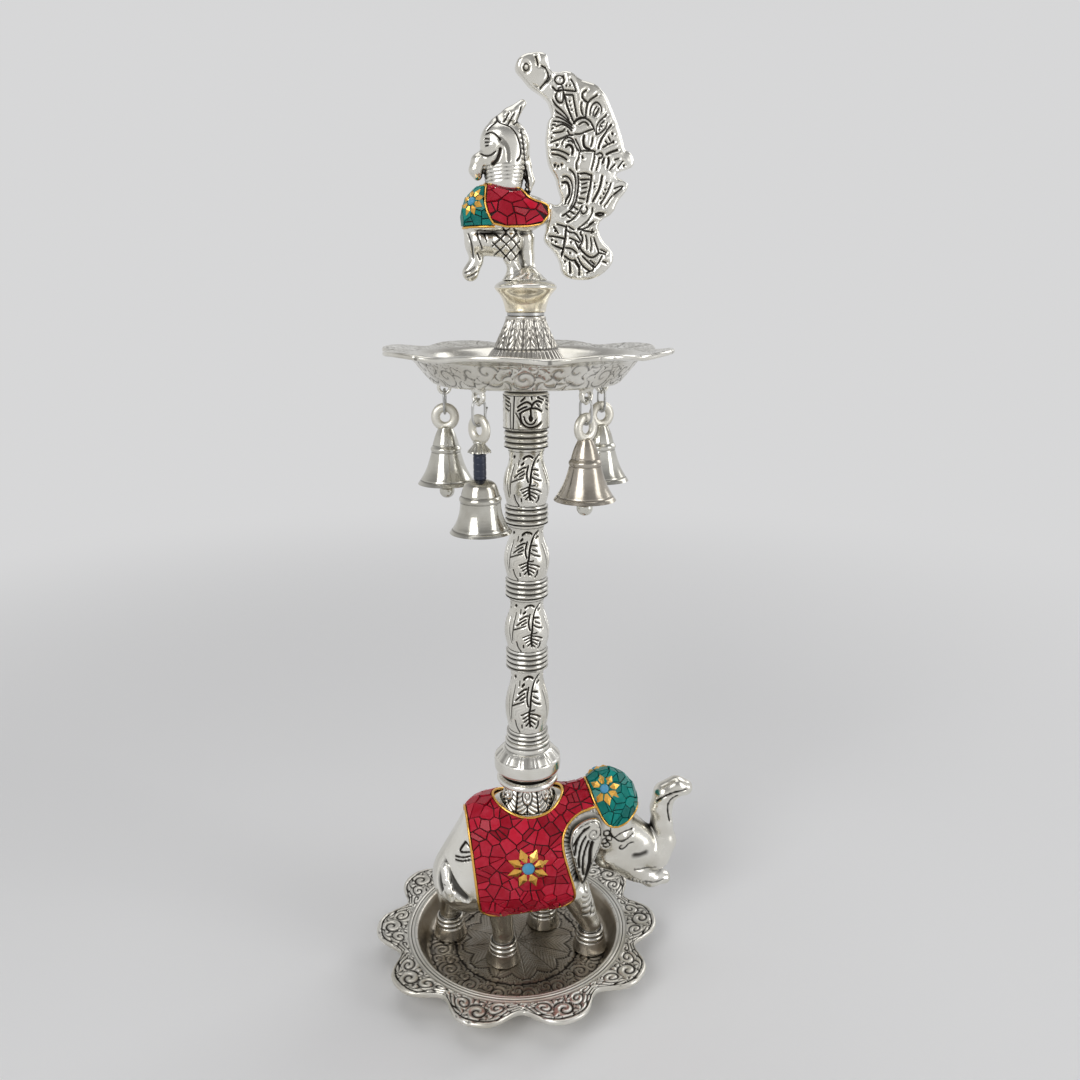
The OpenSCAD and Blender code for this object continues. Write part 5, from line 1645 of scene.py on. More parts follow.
def bird_field(p):
    whole = soft_union(plumage(p), bird_head(p), 0.8)
    whole = soft_union(whole, ellipsoid(p, THIGH), 1)
    whole = soft_union(whole, limb(p * (1, 0.85, 1), BELLY, 1), 1)
    for path in (BEAK, CREST, NAPE, PLUME, NEAR_LEG, FAR_LEG):
        whole = soft_union(whole, limb(p, path, 1), 0.8)
    slope = 0.62 * (np.hypot(p[:, 0] + 0.4, p[:, 1]) - MOUND_R + MOUND_SLOPE * p[:, 2])
    whole = soft_union(whole, np.maximum(slope, p[:, 2] - MOUND_TOP), 1.6)
    under = np.where(p[:, 0] < -14, -0.8, 0)
    return np.maximum(np.maximum(whole, under - p[:, 2]), p[:, 0] - TAIL_ROOT_X)


def net(u, v, size):
    """A net of diamonds: 0 along its cords."""
    a, b = (u + v) / size, (u - v) / size
    away = np.minimum(np.abs(a - np.round(a)), np.abs(b - np.round(b))) * size
    return ramp(away, 0.2, 0.6)


def carve_bird(p, normal):
    """Head, neck rings, nape, thigh net, plume and feet, which need no slope of the surface."""
    x, y, z = p.T
    side = np.stack([x, z], axis=1)
    out = np.abs(y)
    cut, lift = np.ones(len(p)), np.zeros(len(p))

    def engrave(where, pattern, depth):
        cut[where] = np.minimum(cut, pattern)[where]
        lift[where] += (depth * (pattern - 1))[where]

    above = (z > 39.4) & (out > 0.6)
    engrave(above, cut_lines(side, BIRD_LINES, 0.5), 0.4)
    engrave(above, 0.35 + 0.65 * ramp(line_distance(side, rounded(HEAD_BAND)), 0.7, 1.1), 0.7)
    engrave(above, ramp(line_distance(side, rounded(CHEEK_SHADE)), 0.3, 1.0), 0.7)
    eye_r = np.hypot(x - BIRD_EYE[0], (z - BIRD_EYE[1]) * 1.3)
    lift += np.where(above & (out > 2), 0.5 * (1 - ramp(eye_r, 0.4, 2.2)), 0)
    neck = (z > 34.4) & (z < 40.9) & (x < -1.6) & (x > -16)
    engrave(neck, ridges((z - 0.11 * x - 36.45) / 1.3, 0.76), 0.4)
    on_spine = (line_distance(side, SPINE) < 2.4) & (x > -3) & (z > 31) & (z < 53)
    tick = 1 - (1 - ridges((z + 0.25 * x) / 1.75, 0.6)) * ramp(0.6 - (x + 0.4 - 0.1 * (45 - z)), 0, 0.6)
    engrave(on_spine, tick * ramp(np.abs(x + 2.2 - 0.16 * (53 - z)), 0.1, 0.5), 0.5)
    on_thigh = np.hypot(x - THIGH_NET[0], 0.9 * (z - THIGH_NET[1])) < THIGH_NET_R
    engrave((y < 2) & on_thigh, net(x, z, NET_SIZE), 0.5)
    engrave((x < -14.4) & (z < 17.2) & (out > 0.5), 0.2 + 0.8 * cut_lines(side, PLUME_LINES, 0.55), 0.4)
    shank = 0.3 + 0.7 * ridges(z / 2.3 + 0.4 * x, 0.7)
    engrave((z < 8) & (z > 3) & (x > -5.6) & (x < -2) & (y < 0), shank, 0.3)
    claws = 0.25 + 0.75 * ridges(np.arctan2(y, x + 0.8) * 15 / TURN + 0.25 * np.sin(z * 2), 0.7)
    engrave((z < 2.4) & (z > 0.3) & (x > -11), claws, 0.3)
    return lift, cut


def bird():
    shape = cast(bird_field, (-26, -11, -1), (TAIL_ROOT_X, 11, 66), 0.32, carve_bird, (0.9, 2.0, 4.5))
    return shape.moved(PERCHED)


add_piece("crested_bird", bird(), "finial", ["peacock_body"], [SILVER])

SEAM = [(-12.9, 18.5), (-15.5, 23.5), (-16.3, 27.6), (-15, 34.7)]
WING = rounded([(-15, 34.7), (-3.3, 35.2), (-1, 30.6), (1.4, 28.4), (7.4, 27), (8, 25.2), (7.6, 22.4),
                (4, 19.3), *SEAM], 1)
BREAST_FRONT = -30.0
BREAST_LOW_Z, BREAST_TOP_Z = 18.6, 33.8
BREAST_WIRES = [(-12.9, BREAST_LOW_Z), (-15, 33.2)]
BIRD_WIRE_R = 0.42


def seam(p):
    """Distance in front of the line that parts the breast from the wing."""
    seam_x, seam_z = zip(*SEAM)
    return p[:, 0] - np.interp(p[:, 2], seam_z, seam_x)


WING_EDGES = [
    lambda p: outline_distance(p[:, [0, 2]], WING) + 0.25,
    lambda p: 0.9 - bird_head(p),
]
BREAST_EDGES = [
    lambda p: seam(p) + 0.25,
    lambda p: np.maximum(BREAST_LOW_Z - p[:, 2], p[:, 2] - BREAST_TOP_Z) + 0.25,
    lambda p: 0.9 - bird_head(p),
]
BIRD_BOX = ((-29, -13, 15), (9, 13, 37))
wing_chips = mosaic(plumage, WING_EDGES, *BIRD_BOX, gap=3.5, seed=21, grout=0.46, stretch=(0.72, 1, 1))
add_chips("red_wings", wing_chips.moved(PERCHED), "finial", "peacock_wing_mosaic", RED)
breast_chips = mosaic(plumage, BREAST_EDGES, *BIRD_BOX, gap=3.3, seed=22, grout=0.34)
add_chips("teal_breast", breast_chips.moved(PERCHED), "finial", "peacock_breast_mosaic", TEAL)


def bird_wires():
    """A wire round each wing, and one across the breast at its foot and at its top."""
    made = [wire(path, True, BIRD_WIRE_R) for path in side_lines(plumage, WING, WIRE_LEVEL)]
    for start_x, z in BREAST_WIRES:
        across = np.stack([np.linspace(start_x, BREAST_FRONT, 60), np.full(60, z)], axis=1)
        right, left = side_lines(plumage, across, WIRE_LEVEL)
        made.append(wire(np.vstack([right, left[::-1]]), False, BIRD_WIRE_R))
    return union(made)


def on_breast(p):
    return np.max([edge(p) for edge in BREAST_EDGES], axis=0)


BREAST_FLOWERS = mirrored(BREAST[0], towards((-8.4, 5.2, 5.4)))
add_piece("bird_gilt_wire", bird_wires().moved(PERCHED), "finial", ["peacock_border_wire"], [GILT])
breast_flowers = flowers(plumage, BREAST_FLOWERS, 1.6, 5.8, on_breast)
add_flowers("breast", breast_flowers, PERCHED, "finial", "peacock_breast")


# Tail: a flat casting with lines cut into both faces, drawn on enlargements of its parts

TAIL_HALF = 3.5
TAIL_EYE = (0.0, 73.5)
THINNEST_TAIL_LINE = 0.16
WHOLE_VIEW = ((420, 40), 5.41)
UPPER_VIEW, UPPER_PIXEL_MM = ((545, 60), 14.25), 0.375 / 14.25
LOWER_VIEW, LOWER_PIXEL_MM = ((540, 165), 13.07), 0.385 / 13.07
HEAD_VIEW, HEAD_PIXEL_MM = ((430, 40), 3.213), 0.37 / 3.213

# The outline is drawn on the whole view, but for its root at the bird and its furthest end. Strokes and
# dots, each [x, y, radius], are drawn on the view that they are named after.
TAIL_END_X = 41.0
TAIL_ROOT = [(7.6, 13.3), (7, 15.5), (8, 18.8), (8, 28.2), (11.6, 26.8), (14.1, 28.6)]
EDGE_SPOTS = [
    (745, 800), (735, 745), (705, 700), (690, 650), (684, 590), (680, 540), (685, 495), (692, 440),
    (715, 412), (705, 370), (690, 330), (640, 290), (590, 255), (560, 215), (520, 170), (515, 140),
    (530, 100), (570, 75), (610, 72), (650, 68), (685, 85), (690, 130), (700, 170), (740, 182),
    (780, 170), (820, 180), (860, 217), (900, 230), (950, 245), (1000, 300), (1030, 370), (1060, 450),
    (1090, 540), (1100, 600), (1130, 610), (1155, 645), (1150, 690), (1110, 705), (1060, 722),
    (1055, 745), (1100, 765), (1125, 785), (1110, 820), (1060, 880), (1040, 940), (970, 978),
    (955, 1020), (975, 1080), (1030, 1140), (1042, 1180), (1030, 1220), (980, 1270), (920, 1297),
    (860, 1308), (800, 1290), (765, 1260), (755, 1200), (720, 1140),
]
UPPER_STROKES = [
    (14, [(240, 340), (265, 400), (275, 480), (270, 560), (250, 600), (210, 605), (170, 570), (150, 530),
          (160, 490), (185, 440)]),
    (10, [(90, 200), (80, 270), (0, 330)]),
    (8, [(185, 440), (200, 400), (230, 380)]),
    (14, [(285, 425), (430, 440)]),
    (12, [(285, 490), (400, 490)]),
    (16, [(290, 500), (310, 600), (350, 720), (400, 850), (430, 900)]),
    (14, [(410, 500), (425, 600), (445, 720), (465, 800)]),
    (12, [(270, 200), (285, 270), (265, 330)]),
    (14, [(385, 260), (425, 330), (440, 390), (450, 440)]),
    (14, [(600, 415), (560, 440), (535, 490), (545, 540), (590, 580), (620, 600)]),
    (16, [(620, 600), (600, 680), (585, 790)]),
    (10, [(530, 600), (520, 650), (525, 720), (550, 780)]),
    (14, [(760, 480), (720, 515), (660, 555), (625, 600)]),
    (12, [(650, 770), (655, 700), (690, 620), (740, 590), (790, 620), (820, 680), (815, 730)]),
    (12, [(690, 780), (705, 720), (745, 660)]),
    (20, [(775, 690), (750, 740), (720, 790)]),
    (14, [(590, 800), (480, 820), (430, 870)]),
    (14, [(410, 900), (470, 840), (560, 815), (640, 850), (690, 930), (710, 990)]),
    (12, [(490, 915), (540, 875), (590, 880), (630, 925)]),
    (10, [(430, 1050), (520, 1050), (600, 1010), (690, 980)]),
    (24, [(565, 1075), (550, 1160), (570, 1240), (640, 1270)]),
    (14, [(690, 1100), (680, 1180), (660, 1230)]),
    (12, [(740, 1060), (740, 960), (780, 870), (850, 810), (890, 770)]),
    (12, [(780, 1000), (790, 920), (850, 860)]),
    (12, [(900, 890), (880, 960), (820, 1020), (760, 1050)]),
    (18, [(965, 910), (900, 980), (850, 1060), (800, 1150), (770, 1250)]),
    (10, [(910, 1090), (940, 1150)]),
    (10, [(870, 1150), (900, 1200)]),
    (14, [(830, 1240), (900, 1200), (990, 1160)]),
    (20, [(880, 1340), (940, 1310), (1050, 1270)]),
    (12, [(40, 560), (80, 650), (170, 730), (280, 810), (350, 870), (400, 930)]),
    (8, [(110, 560), (160, 640), (240, 710), (310, 790), (350, 850)]),
    (12, [(110, 790), (200, 800), (300, 860), (400, 930)]),
    (10, [(80, 850), (160, 860), (260, 880), (340, 920), (400, 970)]),
    (8, [(60, 905), (150, 915)]),
    (10, [(160, 940), (250, 900), (330, 940), (390, 1000)]),
    (10, [(40, 1000), (120, 960)]),
    (8, [(120, 1030), (250, 1020), (290, 980)]),
    (8, [(330, 1000), (350, 1060), (390, 1070)]),
    (12, [(25, 1190), (120, 1150), (260, 1110), (330, 1070), (410, 1060)]),
    (10, [(250, 1200), (260, 1150), (310, 1100), (370, 1100), (420, 1150), (440, 1230), (490, 1290)]),
    (22, [(310, 1230), (340, 1200), (390, 1220), (410, 1280), (390, 1340)]),
    (12, [(330, 1150), (380, 1140), (400, 1170)]),
    (12, [(440, 1120), (480, 1200), (520, 1290)]),
    (10, [(80, 1270), (180, 1275), (290, 1310), (350, 1350)]),
    (14, [(90, 1330), (130, 1340), (200, 1350), (270, 1380), (320, 1420)]),
    (10, [(500, 1310), (540, 1285), (690, 1285), (720, 1300)]),
    (14, [(535, 1360), (550, 1400)]),
    (12, [(720, 1300), (710, 1400), (690, 1480), (670, 1560)]),
    (8, [(500, 1310), (490, 1400), (450, 1470), (460, 1560)]),
    (8, [(740, 1340), (800, 1310), (840, 1360), (790, 1400)]),
    (14, [(780, 1390), (775, 1460), (740, 1560)]),
    (24, [(850, 1400), (830, 1460)]),
    (22, [(910, 1390), (920, 1450), (900, 1530)]),
    (8, [(1000, 1420), (1060, 1400)]),
    (12, [(940, 1560), (1010, 1490)]),
    (8, [(1120, 1450), (1060, 1530)]),
]
LOWER_STROKES = [
    (10, [(300, 150), (345, 140), (395, 170), (425, 240), (430, 330), (410, 420), (370, 500)]),
    (22, [(290, 230), (340, 215), (375, 250), (390, 330), (380, 400), (345, 450), (330, 490)]),
    (12, [(270, 330), (265, 290), (290, 260)]),
    (8, [(390, 50), (450, 100), (475, 180), (470, 300), (455, 420), (430, 500), (390, 560)]),
    (18, [(500, 110), (510, 250), (490, 400), (470, 500), (400, 590), (300, 660)]),
    (12, [(530, 110), (600, 100), (670, 130)]),
    (12, [(530, 190), (650, 185)]),
    (8, [(550, 250), (620, 230)]),
    (8, [(550, 300), (620, 290)]),
    (8, [(540, 370), (610, 350)]),
    (8, [(520, 430), (590, 440)]),
    (8, [(500, 490), (560, 500)]),
    (18, [(680, 130), (670, 250), (640, 380), (620, 480)]),
    (14, [(560, 530), (500, 640), (420, 720), (360, 745)]),
    (8, [(440, 540), (500, 580)]),
    (8, [(400, 600), (460, 640)]),
    (8, [(350, 640), (400, 690)]),
    (18, [(820, 140), (800, 260), (760, 370), (700, 470)]),
    (14, [(940, 230), (900, 330), (860, 410), (800, 500)]),
    (14, [(980, 300), (1090, 260), (1100, 290), (1030, 350), (980, 390)]),
    (10, [(850, 540), (900, 480), (960, 400)]),
    (10, [(545, 600), (560, 640), (610, 620), (630, 570), (610, 540)]),
    (10, [(690, 560), (690, 640), (640, 720), (560, 790), (500, 830)]),
    (16, [(740, 640), (800, 630), (870, 650), (800, 670), (740, 650)]),
    (14, [(650, 780), (720, 740)]),
    (8, [(500, 840), (600, 830), (700, 760)]),
    (12, [(700, 840), (690, 880)]),
    (10, [(560, 850), (650, 870), (720, 870)]),
    (14, [(90, 920), (200, 935), (330, 960)]),
    (14, [(80, 1020), (180, 1050), (290, 1100)]),
    (18, [(350, 800), (345, 900), (330, 1000), (300, 1120), (275, 1230)]),
    (10, [(220, 770), (330, 800)]),
    (8, [(100, 1060), (190, 1130), (240, 1220)]),
    (10, [(360, 860), (400, 880), (470, 880), (540, 1000)]),
    (10, [(390, 950), (460, 980), (520, 1010)]),
    (8, [(470, 1000), (520, 1100)]),
    (10, [(340, 1080), (420, 1090), (490, 1150)]),
    (12, [(320, 1190), (400, 1250), (470, 1240)]),
    (14, [(540, 870), (530, 900), (560, 930), (560, 1010), (520, 1060), (560, 1130), (640, 1200),
          (700, 1210), (760, 1170), (780, 1130), (750, 1050), (720, 950)]),
    (10, [(600, 920), (620, 1000), (620, 1100)]),
    (10, [(670, 950), (680, 1040), (670, 1120)]),
    (16, [(390, 1270), (395, 1350), (400, 1420)]),
    (12, [(500, 1210), (540, 1290), (600, 1350), (660, 1400)]),
    (26, [(470, 1260), (520, 1330)]),
    (14, [(520, 1350), (520, 1450)]),
    (8, [(560, 1190), (640, 1270), (710, 1340)]),
    (12, [(700, 1310), (720, 1340), (700, 1380)]),
    (10, [(660, 1250), (720, 1300)]),
    (14, [(820, 1190), (780, 1270), (730, 1340)]),
    (10, [(830, 1260), (880, 1280)]),
    (10, [(780, 1150), (870, 1160)]),
    (8, [(800, 1100), (880, 1140)]),
    (8, [(620, 1420), (680, 1390)]),
    (8, [(180, 800), (240, 890)]),
    (8, [(380, 800), (450, 850)]),
]
HEAD_STROKES = [
    (5, [(342, 48), (349, 78)]),
    (4, [(362, 80), (376, 86)]),
    (4, [(316, 140), (345, 152)]),
    (4, [(376, 86), (386, 110), (374, 132), (345, 166)]),
    (4, [(395, 150), (408, 164), (424, 160)]),
]
UPPER_DOTS = [
    (310, 355, 10), (365, 355, 10), (975, 1040, 16), (990, 1160, 16), (50, 1130, 12), (95, 1100, 10),
    (170, 1210, 14), (140, 1500, 20), (190, 1510, 12), (240, 1490, 14), (1140, 1510, 14), (355, 580, 9),
    (370, 645, 9), (388, 708, 9), (815, 945, 9), (785, 985, 9),
]
LOWER_DOTS = [
    (880, 230, 9), (860, 320, 9), (840, 370, 9), (800, 430, 9), (290, 1330, 14), (330, 1260, 10),
    (160, 980, 10), (210, 1010, 12), (200, 860, 10), (720, 280, 10), (720, 240, 8), (410, 1010, 9),
    (400, 1150, 9),
]
UPPER_BEAD = (215, 265, 62)


def tail_lines(view, pixel_mm, strokes):
    """Lines drawn on the tail's near face."""
    def spot(point):
        return sighted(view, point, -TAIL_HALF, PERCH_Z)

    return placed_lines(strokes, spot, pixel_mm, THINNEST_TAIL_LINE)


def tail_dot(view, pixel_mm, dot):
    """A dot drawn on the tail's near face, as [x, z, radius]."""
    x, y, radius = dot
    return (*sighted(view, (x, y), -TAIL_HALF, PERCH_Z), round(radius * pixel_mm, 2))


TAIL_EDGE = [sighted(WHOLE_VIEW, spot, 0, PERCH_Z) for spot in EDGE_SPOTS]
TAIL_OUTLINE = rounded_polygon(TAIL_ROOT + [(min(x, TAIL_END_X), max(z, 0)) for x, z in TAIL_EDGE], 1)
TAIL_LINES = (tail_lines(UPPER_VIEW, UPPER_PIXEL_MM, UPPER_STROKES)
              + tail_lines(LOWER_VIEW, LOWER_PIXEL_MM, LOWER_STROKES)
              + tail_lines(HEAD_VIEW, HEAD_PIXEL_MM, HEAD_STROKES))
TAIL_DOTS = ([tail_dot(UPPER_VIEW, UPPER_PIXEL_MM, dot) for dot in UPPER_DOTS]
             + [tail_dot(LOWER_VIEW, LOWER_PIXEL_MM, dot) for dot in LOWER_DOTS])
TAIL_BEAD = tail_dot(UPPER_VIEW, UPPER_PIXEL_MM, UPPER_BEAD)


def tail_field(p):
    edge = outline_distance(p[:, [0, 2]], TAIL_OUTLINE)
    half = TAIL_HALF - 0.8 * ramp(edge, -4.5, 0)
    return rounded_both(edge, np.abs(p[:, 1]) - half, 1.3)


def carve_tail(p, normal):
    """Lines and dots on the two faces, each with a fainter line beside it in the fan."""
    side = p[:, [0, 2]]
    spots = [np.hypot(side[:, 0] - x, side[:, 1] - z) - r for x, z, r in TAIL_DOTS]
    bead = np.abs(np.hypot(side[:, 0] - TAIL_BEAD[0], side[:, 1] - TAIL_BEAD[1]) - TAIL_BEAD[2]) - 0.18
    eye = np.hypot((side[:, 0] - TAIL_EYE[0]) * 1.15, (side[:, 1] - TAIL_EYE[1]) * 0.9)
    away = np.min([lines_away(side, TAIL_LINES), *spots, bead, np.abs(eye - 1.15) - 0.16], axis=0)
    flat = ramp(np.abs(normal[:, 1]), 0.7, 0.95)
    edge = outline_distance(side, TAIL_OUTLINE)
    fan = ramp(-edge, 0.8, 1.8) * (1 - (side[:, 0] < 9.5) * (side[:, 1] > 64))
    depth = 0.6 * (1 - ramp(away, -0.15, 0.45)) + 0.4 * (1 - ramp(away, 0.1, 1.1))
    shown = engraved(away, 1.25, fan)
    return -depth * flat, 1 - flat * (1 - shown)


def tail():
    (low_x, low_z), (high_x, high_z) = TAIL_OUTLINE.min(axis=0), TAIL_OUTLINE.max(axis=0)
    box = ((low_x, -TAIL_HALF, low_z), (high_x, TAIL_HALF, high_z))
    shape = cast(tail_field, *box, 0.28, carve_tail, (1.0, 2.0))
    return shape.moved(PERCHED)


add_piece("fan_tail", tail(), "finial", ["peacock_tail"], [SILVER])


# Bells, each hung by a wire link from its lug

MOUTH_R = 11.8
BELL_WALL = 1.3
RING_Z, RING_R, RING_STOCK, RING_DEPTH = 245.5, 3.86, 1.84, 1.3
CROWN_Z, LONG_CROWN_Z = 240.95, 226.95
BELL_TALL = 22.5
LONG_BELL_LOW_Z = 206.95
BELL_SHAPE = [(0.25, 0), (0.36, 0.12), (0.46, 0.3), (0.5, 0.36), (0.5, 0.42), (0.66, 0.7), (0.84, 0.88),
              (1, 1)]
LONG_BELL_SHAPE = [(0.22, 0), (0.5, 0.06), (0.6, 0.28), (0.64, 0.32), (0.66, 0.6), (0.8, 0.84), (1, 1)]
BELL_BEAD = 0.37
BELL_EDGE = 50
BELL_GROOVES = (0.3, 0.42, 0.93)
LONG_BELL = 2
LINK_LOW, LINK_HIGH, LINK_HALF, LINK_R = 246.85, 256.65, 3.0, 0.5
PIN_R = 0.6
STEM_R = 1.38


def for_bells(usual, long_neck):
    """A value for each bell, where the bell with the long neck has its own."""
    return {number: long_neck if number == LONG_BELL else usual for number in BELL_NUMBERS}


PIN_Z = for_bells(232.45, 218.45)
PIN_REACH = for_bells(5.0, 6.9)
BALL_Z = for_bells(215.3, 209.8)
BALL_R = for_bells(3.2, 2.8)
BELL_FINISH = {1: BELL_METAL, 2: BELL_METAL, 3: ROSY, 4: BELL_METAL}


def hoop(radius, stock, depth, z, sides=14):
    """A ring of oval section that stands in the Y-Z plane."""
    turn = np.arange(int(48 / DETAIL)) * TURN / int(48 / DETAIL)
    lap = np.arange(sides) * TURN / sides
    out = radius + stock * np.cos(lap)
    points = np.stack([np.tile(-depth * np.sin(lap), (len(turn), 1)), np.cos(turn)[:, None] * out,
                       z + np.sin(turn)[:, None] * out], axis=2)
    a = np.arange(len(turn) * sides).reshape(-1, sides)
    b = np.roll(a, -1, axis=0)
    faces = np.stack([a, np.roll(a, -1, axis=1), np.roll(b, -1, axis=1), b], axis=2)
    return Shape(points.reshape(-1, 3), faces.reshape(-1, 4).tolist())


def bell_shell(shape, tall, top):
    outer = np.array([(r * MOUTH_R, top - h * tall) for r, h in shape])[::-1]
    hollow = [(r, h, BELL_WALL / 2 if h < 1 else 0) for r, h in shape if h > 0.2]
    inner = np.array([(r * MOUTH_R - BELL_WALL, top - h * tall - drop) for r, h, drop in hollow])
    ceiling = [(0, inner[0, 1] + BELL_WALL)]
    outer = resampled(rounded(outer), 0.3 * DETAIL)

    def turned(angle, radius, height):
        down = (top - height) / tall
        outside = radius > np.interp(down, [s[1] for s in shape], [s[0] for s in shape]) * MOUTH_R - 0.6
        grooves = np.ones_like(radius)
        for share in BELL_GROOVES:
            grooves = np.minimum(grooves, 0.42 + 0.58 * line_cut(np.abs(down - share) * tall, 0.4))
        grooves = np.where(outside, grooves, 1.0)
        bead = 0.4 * np.exp(-(((down - BELL_BEAD) * tall / 0.8) ** 2)) * outside
        return bead + 0.25 * (grooves - 1), grooves

    profile = np.vstack([ceiling, inner, outer, [(0, top)]])
    return lathe(profile, 128, carve=turned)


def bell(number):
    parts = [hoop(RING_R, RING_STOCK, RING_DEPTH, RING_Z)]
    parts[0].kinds = [1] * len(parts[0].faces)
    parts.append(ball((0, 0, CROWN_Z), (2.5, 2.5, 1.1)))
    if number == LONG_BELL:
        parts.append(bell_shell(LONG_BELL_SHAPE, LONG_CROWN_Z - LONG_BELL_LOW_Z, LONG_CROWN_Z))
        stem = [(0, LONG_CROWN_Z - 0.2), (STEM_R, LONG_CROWN_Z - 0.2), (STEM_R, CROWN_Z), (0, CROWN_Z)]
        parts.append(lathe(stem, 32))
        parts.append(scalloped_crown())
    else:
        parts.append(bell_shell(BELL_SHAPE, BELL_TALL, CROWN_Z))
    reach = PIN_REACH[number]
    parts.append(tube([(x, 0, PIN_Z[number]) for x in (-reach, 0, reach)], PIN_R))
    return union(parts).moved(at_lug(number))


def scalloped_crown():
    """Small skirt with a wavy hem over the sleeve."""
    low, high = 236.95, CROWN_Z
    skirt = [(1.45, low + 0.5), (3.9, low), (4.55, low + 0.1), (4.4, low + 0.7), (3.3, low + 1.9),
             (2.2, low + 3.2), (1.6, high), (1.45, high)]

    def waves(angle, radius, height):
        share = ramp(radius, 2.0, 4.5)
        wave = ridges(angle * 9 / TURN, 0.5)
        return 0.45 * share * (wave - 1), 0.4 + 0.6 * wave

    return lathe(resampled(rounded(skirt, 1), 0.25), 108, closed=True, carve=waves)


def link(number):
    half = LINK_HALF
    turn = np.linspace(0, math.pi, 15)
    low_z, high_z = LINK_LOW + half, LINK_HIGH - half
    top_bend = np.stack([half * np.cos(turn), 0 * turn, high_z + half * np.sin(turn)], axis=1)
    low_bend = np.stack([-half * np.cos(turn), 0 * turn, low_z - half * np.sin(turn)], axis=1)
    path = resampled(np.vstack([top_bend, low_bend, top_bend[:1]]), 0.5)
    shape = tube(path[:-1], LINK_R, 10, True)
    if number == LONG_BELL:
        end = rounded([(half, 0, low_z + 0.6), (half + 0.5, 0.3, low_z + 2), (half + 1.5, 0.6, low_z + 3.4)])
        shape = union([shape, tube(end, 0.42, 8)])
    return shape.moved(at_lug(number))


def clapper(number):
    hang = PIN_Z[number] - 0.15
    centre, radius = BALL_Z[number], BALL_R[number]
    rod = tube([(0, 0, hang - 1.5), (0, 0, (hang + centre) / 2), (0, 0, centre)], 0.7)
    drop = [(0, centre - radius), (radius * 0.5, centre - radius * 0.87),
            (radius * 0.87, centre - radius * 0.5), (radius, centre), (radius * 0.87, centre + radius * 0.5),
            (radius * 0.45, centre + radius * 0.9), (0.75, centre + radius * 1.15),
            (0, centre + radius * 1.2)]
    return union([hoop(1.5, 0.6, 0.6, hang, 10), rod, lathe(rounded(drop), 36)]).moved(at_lug(number))


for number in BELL_NUMBERS:
    hung = add_piece(f"hung_bell_{number}", bell(number), f"bell_{number}", [f"bell_{number}"],
                     [BELL_FINISH[number], CAST_RING])
    crisp(hung, BELL_EDGE)
    add_piece(f"wire_link_{number}", link(number), f"link_{number}", [f"bell_link_{number}"],
              [STEEL])
    add_piece(f"clapper_{number}", clapper(number), f"clapper_{number}", [f"bell_clapper_{number}"],
              [BELL_METAL])


def sleeve():
    low, high = box_mm("bell_2_neck_sleeve")
    low, high = low[2], high[2]
    outer = [(1.42, low), (2.1, low), (2.4, low + 0.3), (2.4, high - 0.3), (2.1, high), (1.42, high)]

    def rings_cut(angle, radius, height):
        grooves = ramp(np.abs((height - low) % 2.5 - 1.25), 0.1, 0.3)
        grooves = np.where(radius > 2.2, grooves, 1.0)
        return 0.12 * (grooves - 1), grooves

    return lathe(resampled(outer, 0.2), 48, closed=True, carve=rings_cut).moved(at_lug(LONG_BELL))


crisp(add_piece("navy_sleeve", sleeve(), "bell_2", ["bell_2_neck_sleeve"], [NAVY]), BELL_EDGE)

FIXINGS = ("tie_rod", "bowl_washer", "bowl_nut", "elephant_screws", "finial_washer", "finial_pin", "tail_pin")
for node in FIXINGS:
    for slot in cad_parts[node].material_slots:
        slot.material = STEEL


# Stage, light and camera

def camera():
    data = bpy.data.cameras.new("camera")
    data.sensor_width = SENSOR_MM
    data.lens = FOCAL_PIXELS / PIXELS * SENSOR_MM
    data.clip_start = 0.01
    data.clip_end = 60
    eye = bpy.data.objects.new("camera", data)
    eye.location = Vector(VIEW_FROM * MM)
    eye.rotation_mode = "QUATERNION"
    eye.rotation_quaternion = Vector(VIEW_AHEAD).to_track_quat("-Z", "Y")
    bpy.context.scene.collection.objects.link(eye)
    bpy.context.scene.camera = eye


def seen_directly(tree):
    """1 for the rays that show the background itself or its reflection."""
    path = put(tree, "ShaderNodeLightPath")
    first = put(tree, "ShaderNodeMath", operation="MAXIMUM")
    tree.links.new(path.outputs["Is Camera Ray"], first.inputs[0])
    tree.links.new(path.outputs["Is Glossy Ray"], first.inputs[1])
    second = put(tree, "ShaderNodeMath", operation="MAXIMUM")
    tree.links.new(first.outputs["Value"], second.inputs[0])
    tree.links.new(path.outputs["Is Transmission Ray"], second.inputs[1])
    return second.outputs["Value"]


PALE = (0.68, 0.68, 0.685)
OVERHEAD = (0.3, 0.3, 0.305)
FILL_LEVEL = 0.45
CLEAR_R, FADED_R = 0.22, 0.95


def backdrop():
    """A pale studio that darkens overhead."""
    world = bpy.data.worlds.new("studio")
    bpy.context.scene.world = world
    world.use_nodes = True
    tree = world.node_tree
    background = tree.nodes["Background"]
    place = put(tree, "ShaderNodeTexCoord")
    parts = put(tree, "ShaderNodeSeparateXYZ")
    tree.links.new(place.outputs["Generated"], parts.inputs["Vector"])
    height = mapped(tree, parts.outputs["Z"], 0.22, 0.85, 0, 1)
    height.node.interpolation_type = "SMOOTHSTEP"
    tree.links.new(mixed(tree, height, PALE, OVERHEAD), background.inputs["Color"])
    level = mapped(tree, seen_directly(tree), 0, 1, FILL_LEVEL, 1.0)
    tree.links.new(level, background.inputs["Strength"])


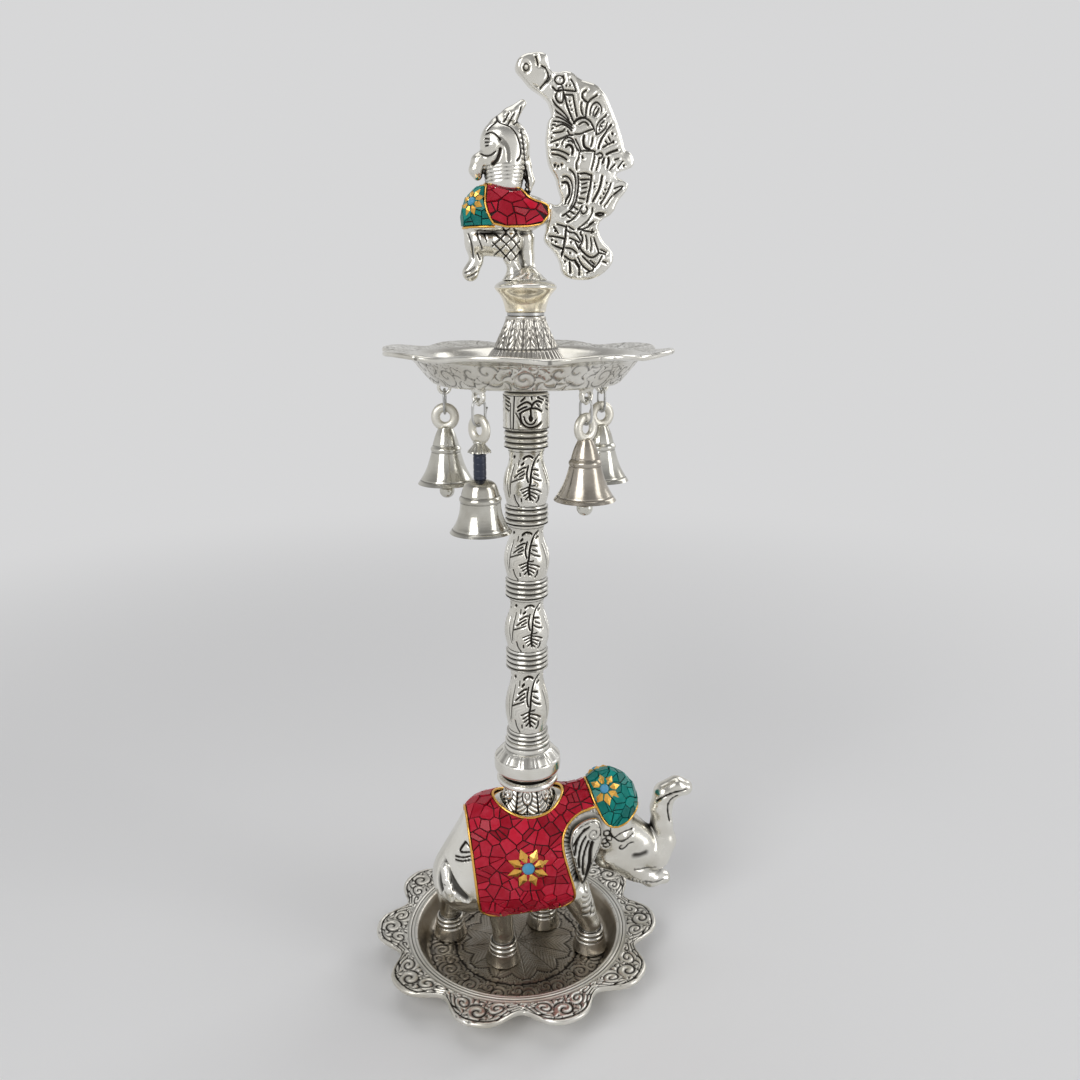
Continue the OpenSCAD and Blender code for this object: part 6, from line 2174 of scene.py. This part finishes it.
def floor():
    """A pale floor that fades into the backdrop."""
    size = 6.0
    mesh = bpy.data.meshes.new("floor")
    corners = [(-size, -size, 0), (size, -size, 0), (size, size, 0), (-size, size, 0)]
    mesh.from_pydata(corners, [], [(0, 1, 2, 3)])
    material, tree, shader = nodes_of("floor")
    shader.inputs["Base Color"].default_value = (0.88, 0.88, 0.885, 1)
    shader.inputs["Roughness"].default_value = 0.7
    shader.inputs["Specular IOR Level"].default_value = 0.2
    glow = put(tree, "ShaderNodeEmission")
    glow.inputs["Color"].default_value = (*PALE, 1)
    place = put(tree, "ShaderNodeNewGeometry")
    away = put(tree, "ShaderNodeVectorMath", operation="LENGTH")
    tree.links.new(place.outputs["Position"], away.inputs[0])
    blend = put(tree, "ShaderNodeMixShader")
    share = mapped(tree, away.outputs["Value"], CLEAR_R, FADED_R, 0, 1)
    share.node.interpolation_type = "SMOOTHSTEP"
    tree.links.new(share, blend.inputs["Fac"])
    tree.links.new(shader.outputs["BSDF"], blend.inputs[1])
    tree.links.new(glow.outputs["Emission"], blend.inputs[2])
    tree.links.new(blend.outputs["Shader"], tree.nodes["Material Output"].inputs["Surface"])
    mesh.materials.append(material)
    plane = bpy.data.objects.new("floor", mesh)
    bpy.context.scene.collection.objects.link(plane)


def lamp(name, place, target, size, power):
    data = bpy.data.lights.new(name, "AREA")
    data.shape = "RECTANGLE"
    data.size, data.size_y = size
    data.energy = power
    light = bpy.data.objects.new(name, data)
    light.location = place
    light.rotation_mode = "QUATERNION"
    light.rotation_quaternion = (Vector(target) - Vector(place)).to_track_quat("-Z", "Y")
    bpy.context.scene.collection.objects.link(light)


camera()
backdrop()
floor()
MIDDLE = (0, 0, 0.19)
lamp("key", (-0.8, -0.9, 0.95), MIDDLE, (0.7, 0.9), 8)
lamp("fill", (1.0, -0.6, 0.5), MIDDLE, (0.4, 1.1), 3.5)
lamp("back", (1.0, 0.6, 0.9), MIDDLE, (0.7, 0.7), 3)
lamp("top", (0, 0.15, 1.5), MIDDLE, (1.2, 1.2), 5)

view = bpy.context.scene.view_settings
view.view_transform = "Standard"
